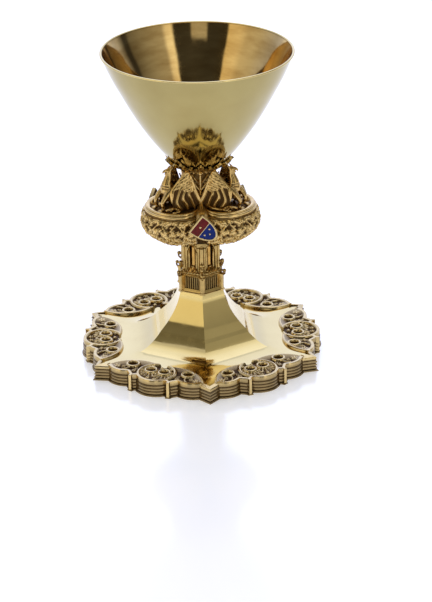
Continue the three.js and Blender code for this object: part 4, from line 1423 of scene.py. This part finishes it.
def make_shield(azimuth, name, node):
    rows, columns = 72, 56
    share = (1 - np.cos(np.linspace(0, math.pi, rows)))[:, None] / 2
    across = np.sin(np.linspace(-1, 1, columns) * math.pi / 2)[None, :]
    x = shield_half_width(share) * across
    y = SHIELD_HEIGHT * (0.5 - share) + 0 * across
    outline_share = (1 - np.cos(np.linspace(0, math.pi, 60))) / 2
    right = np.column_stack([shield_half_width(outline_share), SHIELD_HEIGHT * (0.5 - outline_share)])
    outline = np.vstack([[(0, SHIELD_HEIGHT / 2)], right])
    edge, _ = nearest_on_path(np.column_stack([np.abs(x).ravel(), y.ravel()]), outline)
    edge = edge.reshape(x.shape)
    line = np.abs(share + 0 * across - SHIELD_DIVISION) * SHIELD_HEIGHT
    gold = np.clip((SHIELD_BORDER - edge) / 0.25, 0, 1)
    gold = np.maximum(gold, np.clip((0.42 - line) / 0.2, 0, 1))
    for cx, at, radius, corners in SHIELD_CHARGES:
        dx, dy = x - cx, y - SHIELD_HEIGHT * (0.5 - at)
        distance = np.abs(dx) * 1.25 + np.abs(dy) if corners else np.hypot(dx, dy)
        gold = np.maximum(gold, np.clip((radius - distance) / 0.25, 0, 1))
    rise = SHIELD_THICKNESS / 2 + 0.15 + 0.5 * gold * np.clip(edge / 0.4, 0.2, 1)
    rise += 0.25 * (1 - gold) * np.clip(edge / 3, 0, 1)
    front = np.stack([x, y, rise], -1)
    back = np.stack([x, y, np.full(x.shape, -SHIELD_THICKNESS / 2)], -1)
    faces = grid_faces(rows, columns)
    corners = gold.ravel()[faces].mean(1)
    low = (share + 0 * across).ravel()[faces].mean(1) > SHIELD_DIVISION
    materials = np.where(corners > 0.5, 0, np.where(low, 2, 1))
    cos, sin = math.cos(SHIELD_TURN), math.sin(SHIELD_TURN)
    shield = Casting()

    def placed(plate):
        px = plate[..., 0] * cos - plate[..., 1] * sin
        py = plate[..., 0] * sin + plate[..., 1] * cos
        return np.stack([SHIELD_PLACE[0] + plate[..., 2], SHIELD_PLACE[1] + px, SHIELD_PLACE[2] + py], -1)

    shield.add(placed(front), faces[:, ::-1], 0.85)
    shield.materials = materials.tolist()
    shield.add(placed(back), faces, 0.3)
    rim = np.concatenate([front[0], front[1:, -1], front[-1, -2::-1], front[-2:0:-1, 0]])
    walls = np.stack([rim, rim * (1, 1, 0) - (0, 0, SHIELD_THICKNESS / 2)])
    shield.add(placed(walls), grid_faces(2, len(rim), closed=True), 0.8)
    stud = curve((24.0, 0, KNOP_TOP - 9.7), (29.0, 0.6, KNOP_TOP - 9.7), (SHIELD_PLACE[0] - 0.5, 1.2, KNOP_TOP - 9.7), steps=4)
    shield.add(*tube(stud, 2.0, sides=12), 0.3)
    shield.turned(azimuth).piece(name, [BORDER, RED, BLUE], "enamel", node, sharp=35)


for i in range(LOBES):
    make_shield(i * LOBE_SECTOR, f"plaque_{i + 1}", f"shield_{i + 1}")


# Neck: three upright leaves, each running down into a stalk over a crease of the knop

NECK_PROFILE = [
    # height over the well's floor, radius
    (0.0, 8.8), (3.0, 8.5), (7.0, 8.5), (11.0, 9.0), (15.0, 9.8), (18.5, 10.6), (21.5, 11.4), (24.6, 11.9),
]
NECK_REACH = 24.6  # up to the bowl, inside the collar
NECK_RISE = 2.5
STALK_PATH = [
    # reach, height under the knop's top, half width, crown
    (9.6, -6.0, 0.8, 0.6), (11.4, -3.6, 1.2, 0.9), (15.0, -1.8, 1.9, 1.2), (19.5, -0.9, 2.9, 1.5),
    (24.0, -0.1, 3.9, 1.8), (28.2, 2.2, 4.7, 2.0), (30.6, 5.8, 5.2, 2.0), (31.4, 9.6, 5.2, 1.8), (31.2, 14.0, 4.2, 1.4),
]


def neck_relief(points):
    """Height of an upright leaf over the neck: beside its midrib, and up."""
    p = np.column_stack([np.abs(points[:, 0]), points[:, 1]])
    top = NECK_RISE
    midrib = bead(p, [(0, -0.5), (0, 25.0)], 1.05, top, (1.3, 0.9))
    veins = [
        bead(p, curve((0, 9.6), (3.2, 13.0), (7.6, 18.4)), 0.62, top * 0.8, (1, 0.6)),
        bead(p, curve((0, 14.6), (2.6, 17.6), (5.2, 21.8)), 0.55, top * 0.75, (1, 0.6)),
        bead(p, curve((0, 3.4), (3.4, 8.0), (8.8, 13.4)), 0.6, top * 0.7, (1, 0.6)),
        leaf(p, curve((1.2, 12.6), (4.4, 17.4), (6.4, 21.6)), 1.8, top * 0.62, 4),
        leaf(p, curve((3.6, 10.6), (7.4, 14.6), (10.8, 18.6)), 1.9, top * 0.62, 4),
        leaf(p, curve((6.0, 6.0), (9.6, 10.6), (12.4, 15.2)), 1.8, top * 0.6, 4),
        leaf(p, curve((9.4, 16.0), (12.4, 19.0), (16.0, 21.4)), 2.0, top * 0.7, 4),
        leaf(p, curve((14.0, 8.0), (15.8, 13.4), (17.8, 18.6)), 2.0, top * 0.6, 4),
    ]
    berries = [boss(points, place, 0.95, top * 0.95) for place in ((-3.4, 8.4), (-2.2, 6.6), (-4.2, 6.2), (3.4, 4.6))]
    beads = boss(np.column_stack([points[:, 0] % 2.6, points[:, 1]]), (1.3, 23.2), 1.2, top * 0.9)
    return np.max([midrib, *veins, *berries, beads], axis=0)


def make_neck():
    rows, columns = 72, 264
    rise = np.linspace(0, NECK_REACH, rows)
    profile = np.array(NECK_PROFILE)
    radius = np.interp(rise, profile[:, 0], profile[:, 1])[:, None]
    azimuth = (np.arange(columns) * 2 * math.pi / columns)[None, :]
    from_leaf = (azimuth + LOBE_SECTOR / 2) % LOBE_SECTOR - LOBE_SECTOR / 2
    grid = np.stack(np.broadcast_arrays(from_leaf * 10.5, rise[:, None]), -1)
    height = neck_relief(grid.reshape(-1, 2)).reshape(grid.shape[:2])
    points = polar(radius - 1.4 + height, azimuth, WELL_FLOOR + rise[:, None])
    neck = Casting()
    neck.add(points, grid_faces(rows, columns, closed=True), 0.25 + 0.75 * np.clip(height / NECK_RISE, 0, 1))
    for i in range(LOBES):
        neck.join(neck_stalk().turned(i * LOBE_SECTOR))
        neck.join(neck_veins().turned(i * LOBE_SECTOR))
    neck.piece("neck_leaves", [CAST], "aged_gilt", "neck", sharp=70)


def neck_stalk():
    """The smooth saddle that runs from a leaf's foot down to the shield."""
    rows, columns = 48, 17
    path = catmull_rom(STALK_PATH, np.linspace(0, 1, rows))
    across = np.linspace(-1, 1, columns)[None, :]
    reach, below, half, crown = (path[:, k][:, None] for k in range(4))
    slope = np.arctan2(np.gradient(path[:, 1]), np.gradient(path[:, 0]))[:, None]
    drop = crown * (1 - np.sqrt(np.clip(1 - (0.97 * across) ** 2, 0, 1))) * 1.3
    points = np.stack(
        np.broadcast_arrays(reach - drop * np.sin(slope), across * half, KNOP_TOP - below - drop * np.cos(slope)), -1
    )
    stalk = Casting()
    # Painted shade: lighter along the saddle's middle, darker towards its sides
    shade = 0.62 - 0.3 * np.abs(across) ** 2 + 0 * reach
    stalk.add(points, grid_faces(rows, columns), shade)
    return stalk


def neck_veins():
    """Round midrib and forked veins that stand proud of an upright leaf."""
    veins = Casting()
    midrib = curve((11.2, 0, 1.6), (11.0, 0, 7.0), (11.6, 0, 13.0), (12.4, 0, 19.0), (13.4, 0, 24.2), steps=30)
    thickness = np.interp(np.linspace(0, 1, 30), [0, 0.3, 1], [0.7, 0.95, 0.8])
    veins.add(*tube(midrib + (0, 0, WELL_FLOOR), thickness, 10), 1.0)
    veins.add(*ball((13.4, 0, WELL_FLOOR + 23.4), 1.25, 0.15), 0.9)
    for side in (-1, 1):
        for low, middle, high in (((11.4, 0.4, 11.2), (11.4, 3.2, 14.8), (10.9, 6.8, 19.4)),
                                  ((10.9, 0.4, 3.6), (10.9, 2.2, 7.2), (10.2, 4.2, 11.2))):
            path = curve(*[(x, side * y, WELL_FLOOR + z) for x, y, z in (low, middle, high)], steps=14)
            veins.add(*tube(path, np.linspace(0.6, 0.45, 14)), 0.95)
    for y, z in ((-3.2, 8.6), (-2.0, 7.0), (-3.6, 6.4), (-1.8, 9.6)):
        veins.add(*ball((10.6, y, WELL_FLOOR + z), 0.85), 1.0)
    return veins


make_neck()


# Calyx: a collar of pointed, veined leaves round the bottom of the bowl

CALYX_LEAVES = 10
CALYX_LOW = 0.135  # shares along the bowl's profile
CALYX_TIP = 0.262
CALYX_NOTCH = 0.19
CALYX_SKIN = 0.7


def calyx_edge(phase):
    """Share along the bowl's profile where the collar ends: tall points between small ones."""
    main = np.clip(1 - np.abs(phase) * 1.55, 0, 1) ** 1.1
    between = 0.62 * np.clip(1 - np.abs(np.abs(phase) - 1) * 2.3, 0, 1)
    lobes = 0.16 * np.abs(np.cos(math.pi * 3.5 * phase))
    return CALYX_NOTCH + (CALYX_TIP - CALYX_NOTCH) * np.clip(np.maximum(main, between) + lobes - 0.1, 0, 1)


def make_calyx():
    rows, columns = 34, 380
    azimuth = (np.arange(columns) * 2 * math.pi / columns)[None, :]
    sector = 2 * math.pi / CALYX_LEAVES
    phase = ((azimuth / sector + 0.5) % 1 - 0.5) * 2
    v = np.linspace(0, 1, rows)[:, None]
    share = CALYX_LOW + (calyx_edge(phase) - CALYX_LOW) * v
    outer = bowl_profile(share.ravel(), SEAT_GAP).reshape(*share.shape, 2)
    ahead = bowl_profile(share.ravel(), SEAT_GAP + 1).reshape(*share.shape, 2) - outer
    span = np.abs(phase)
    midrib = np.exp(-((span / 0.07) ** 2)) * (1 - 0.4 * v)
    veins = 0.5 + 0.5 * np.cos(2 * math.pi * (2.6 * v - 1.8 * span))
    gap = np.clip((np.abs(span - 0.66 + 0.1 * v) - 0.03) / 0.1, 0, 1)
    relief = (0.35 + 0.35 * veins * np.clip(span * 5, 0, 1) + 0.6 * midrib) * gap
    relief = relief * (0.6 + 0.4 * np.clip(v * 6, 0, 1))
    curl = 1.0 * np.clip((v - 0.68) / 0.32, 0, 1) ** 2
    tips = np.clip((v - 0.6) / 0.3, 0, 1)
    worn = np.clip(1.15 * relief + 0.35 * tips, 0, 1)
    skin = outer + ahead * (CALYX_SKIN + relief * 1.1 + curl)[..., None]
    inside = outer + ahead * (0.1 + curl * 0.3)[..., None]
    rings = [polar(skin[..., 0], azimuth, skin[..., 1]), polar(inside[..., 0], azimuth, inside[..., 1])[::-1]]
    calyx = Casting()
    calyx.add(np.concatenate(rings), grid_faces(2 * rows, columns, closed=True), np.concatenate([worn, worn[::-1] * 0.8]))
    low = skin[0].mean(0)
    foot = [(11.4, low[1] - 1.0), (low[0] - 0.2, low[1] - 0.9), (low[0] + 0.3, low[1] - 0.3), (low[0], low[1] + 0.4)]
    points, faces = lathe(foot, 96)
    calyx.add(points, faces, 0.85)
    calyx.piece("calyx_leaves", [CAST], "aged_gilt", "calyx", sharp=60)


make_calyx()


# Stage: a pale floor, soft light

# Brightness of the surroundings by azimuth, in degrees, in three bands of elevation
LOW_SKY = [
    (-180, 1.15), (-165, 1.05), (-140, 0.72), (-118, 0.5), (-72, 0.7), (-62, 0.93), (-46, 0.95), (-44, 0.05),
    (-18, 0.05), (-16, 0.55), (3, 0.55), (5, 0.06), (27, 0.05), (30, 1.25), (38, 1.05), (43, 0.5), (62, 0.38),
    (80, 0.25), (91, 0.17), (95, 0.05), (101, 0.05), (112, 0.5), (140, 0.68), (165, 1.05), (180, 1.15),
]
MIDDLE_SKY = [stop for stop in LOW_SKY if stop[1] != 0.55]
HIGH_SKY = [
    (-180, 0.9), (-120, 0.7), (-95, 0.25), (-70, 0.18), (-40, 0.08), (0, 0.05), (40, 0.12), (60, 0.36),
    (85, 0.38), (120, 0.7), (180, 0.9),
]
SKY_BANDS = [
    # sine of the elevation where a band begins and where it has taken over
    (0.485, 0.50),
    (0.665, 0.69),
    (0.87, 0.93),
]
ZENITH = 0.68
HORIZON = 1.0
SKY_COLOURS = [
    # azimuth and tint: cool behind the object, warm towards the camera
    (-180, (0.94, 1.06, 1.60)), (-125, (0.95, 1.04, 1.40)), (-90, (1.0, 0.97, 0.85)),
    (-46, (1.02, 0.90, 0.62)), (-30, (1.0, 0.97, 0.85)), (90, (1.0, 0.97, 0.85)),
    (125, (0.95, 1.04, 1.40)), (180, (0.94, 1.06, 1.60)),
]
LIGHTS = [
    # name, place, aimed at, size, radiance and colour
    ("overhead", (0.0, 0.15, 1.5), (0, 0, 0), (2.0, 2.0), 0.43, (0.97, 1.01, 1.22)),
]


def make_floor():
    size = 6.0
    mesh = bpy.data.meshes.new("floor")
    half = size / 2
    mesh.from_pydata([(-half, -half, 0), (half, -half, 0), (half, half, 0), (-half, half, 0)], [], [(0, 1, 2, 3)])
    mesh.materials.append(floor_material())
    floor = bpy.data.objects.new("floor", mesh)
    bpy.context.scene.collection.objects.link(floor)


def area_light(name, place, target, size, radiance, colour):
    data = bpy.data.lights.new(name, "AREA")
    data.shape = "RECTANGLE"
    data.size, data.size_y = size
    data.energy = radiance * math.pi * size[0] * size[1]
    data.color = colour
    light = bpy.data.objects.new(name, data)
    light.location = place
    aim = Vector(target) - Vector(place)
    light.rotation_euler = aim.to_track_quat("-Z", "Y").to_euler()
    bpy.context.scene.collection.objects.link(light)


def math_node(nodes, links, operation, *sources):
    """A math node, fed with values and outputs."""
    node = nodes.new("ShaderNodeMath")
    node.operation = operation
    for socket, source in zip(node.inputs, sources):
        if isinstance(source, (int, float)):
            socket.default_value = source
        else:
            links.new(source, socket)
    return node.outputs["Value"]


def make_world():
    """Surroundings of pale and dark fields, as the polished gold mirrors them."""
    world = bpy.data.worlds.new("world")
    bpy.context.scene.world = world
    world.use_nodes = True
    nodes, links = world.node_tree.nodes, world.node_tree.links
    coordinates = nodes.new("ShaderNodeTexCoord")
    direction = nodes.new("ShaderNodeSeparateXYZ")
    links.new(coordinates.outputs["Generated"], direction.inputs[0])
    x, y, z = direction.outputs
    towards_camera = math_node(nodes, links, "MULTIPLY", y, -1.0)
    angle = math_node(nodes, links, "ARCTAN2", x, towards_camera)
    turn = math_node(nodes, links, "MULTIPLY_ADD", angle, 0.5 / math.pi, 0.5)
    colour = None
    for k, sky in enumerate((LOW_SKY, MIDDLE_SKY, HIGH_SKY)):
        band = ramp(nodes, links, turn, [(az / 360 + 0.5, grey(value)) for az, value in sky])
        if colour is not None:
            begins, ends = SKY_BANDS[k - 1]
            band = mix_colour(nodes, links, ramp(nodes, links, z, [(begins, grey(0)), (ends, grey(1))]), colour, band)
        colour = band
    begins, ends = SKY_BANDS[-1]
    top = ramp(nodes, links, z, [(begins, grey(0)), (ends, grey(1))])
    colour = mix_colour(nodes, links, top, colour, grey(ZENITH))
    tint = ramp(nodes, links, turn, [(az / 360 + 0.5, shade) for az, shade in SKY_COLOURS])
    product = nodes.new("ShaderNodeVectorMath")
    product.operation = "MULTIPLY"
    links.new(colour, product.inputs[0])
    links.new(tint, product.inputs[1])
    low = ramp(nodes, links, z, [(0.0, grey(1)), (0.09, grey(0))])
    colour = mix_colour(nodes, links, low, product.outputs["Vector"], grey(HORIZON))
    links.new(colour, nodes["Background"].inputs["Color"])
    nodes["Background"].inputs["Strength"].default_value = 1.0


bpy.context.scene.view_settings.view_transform = "Standard"
make_floor()
make_world()
for light in LIGHTS:
    area_light(*light)
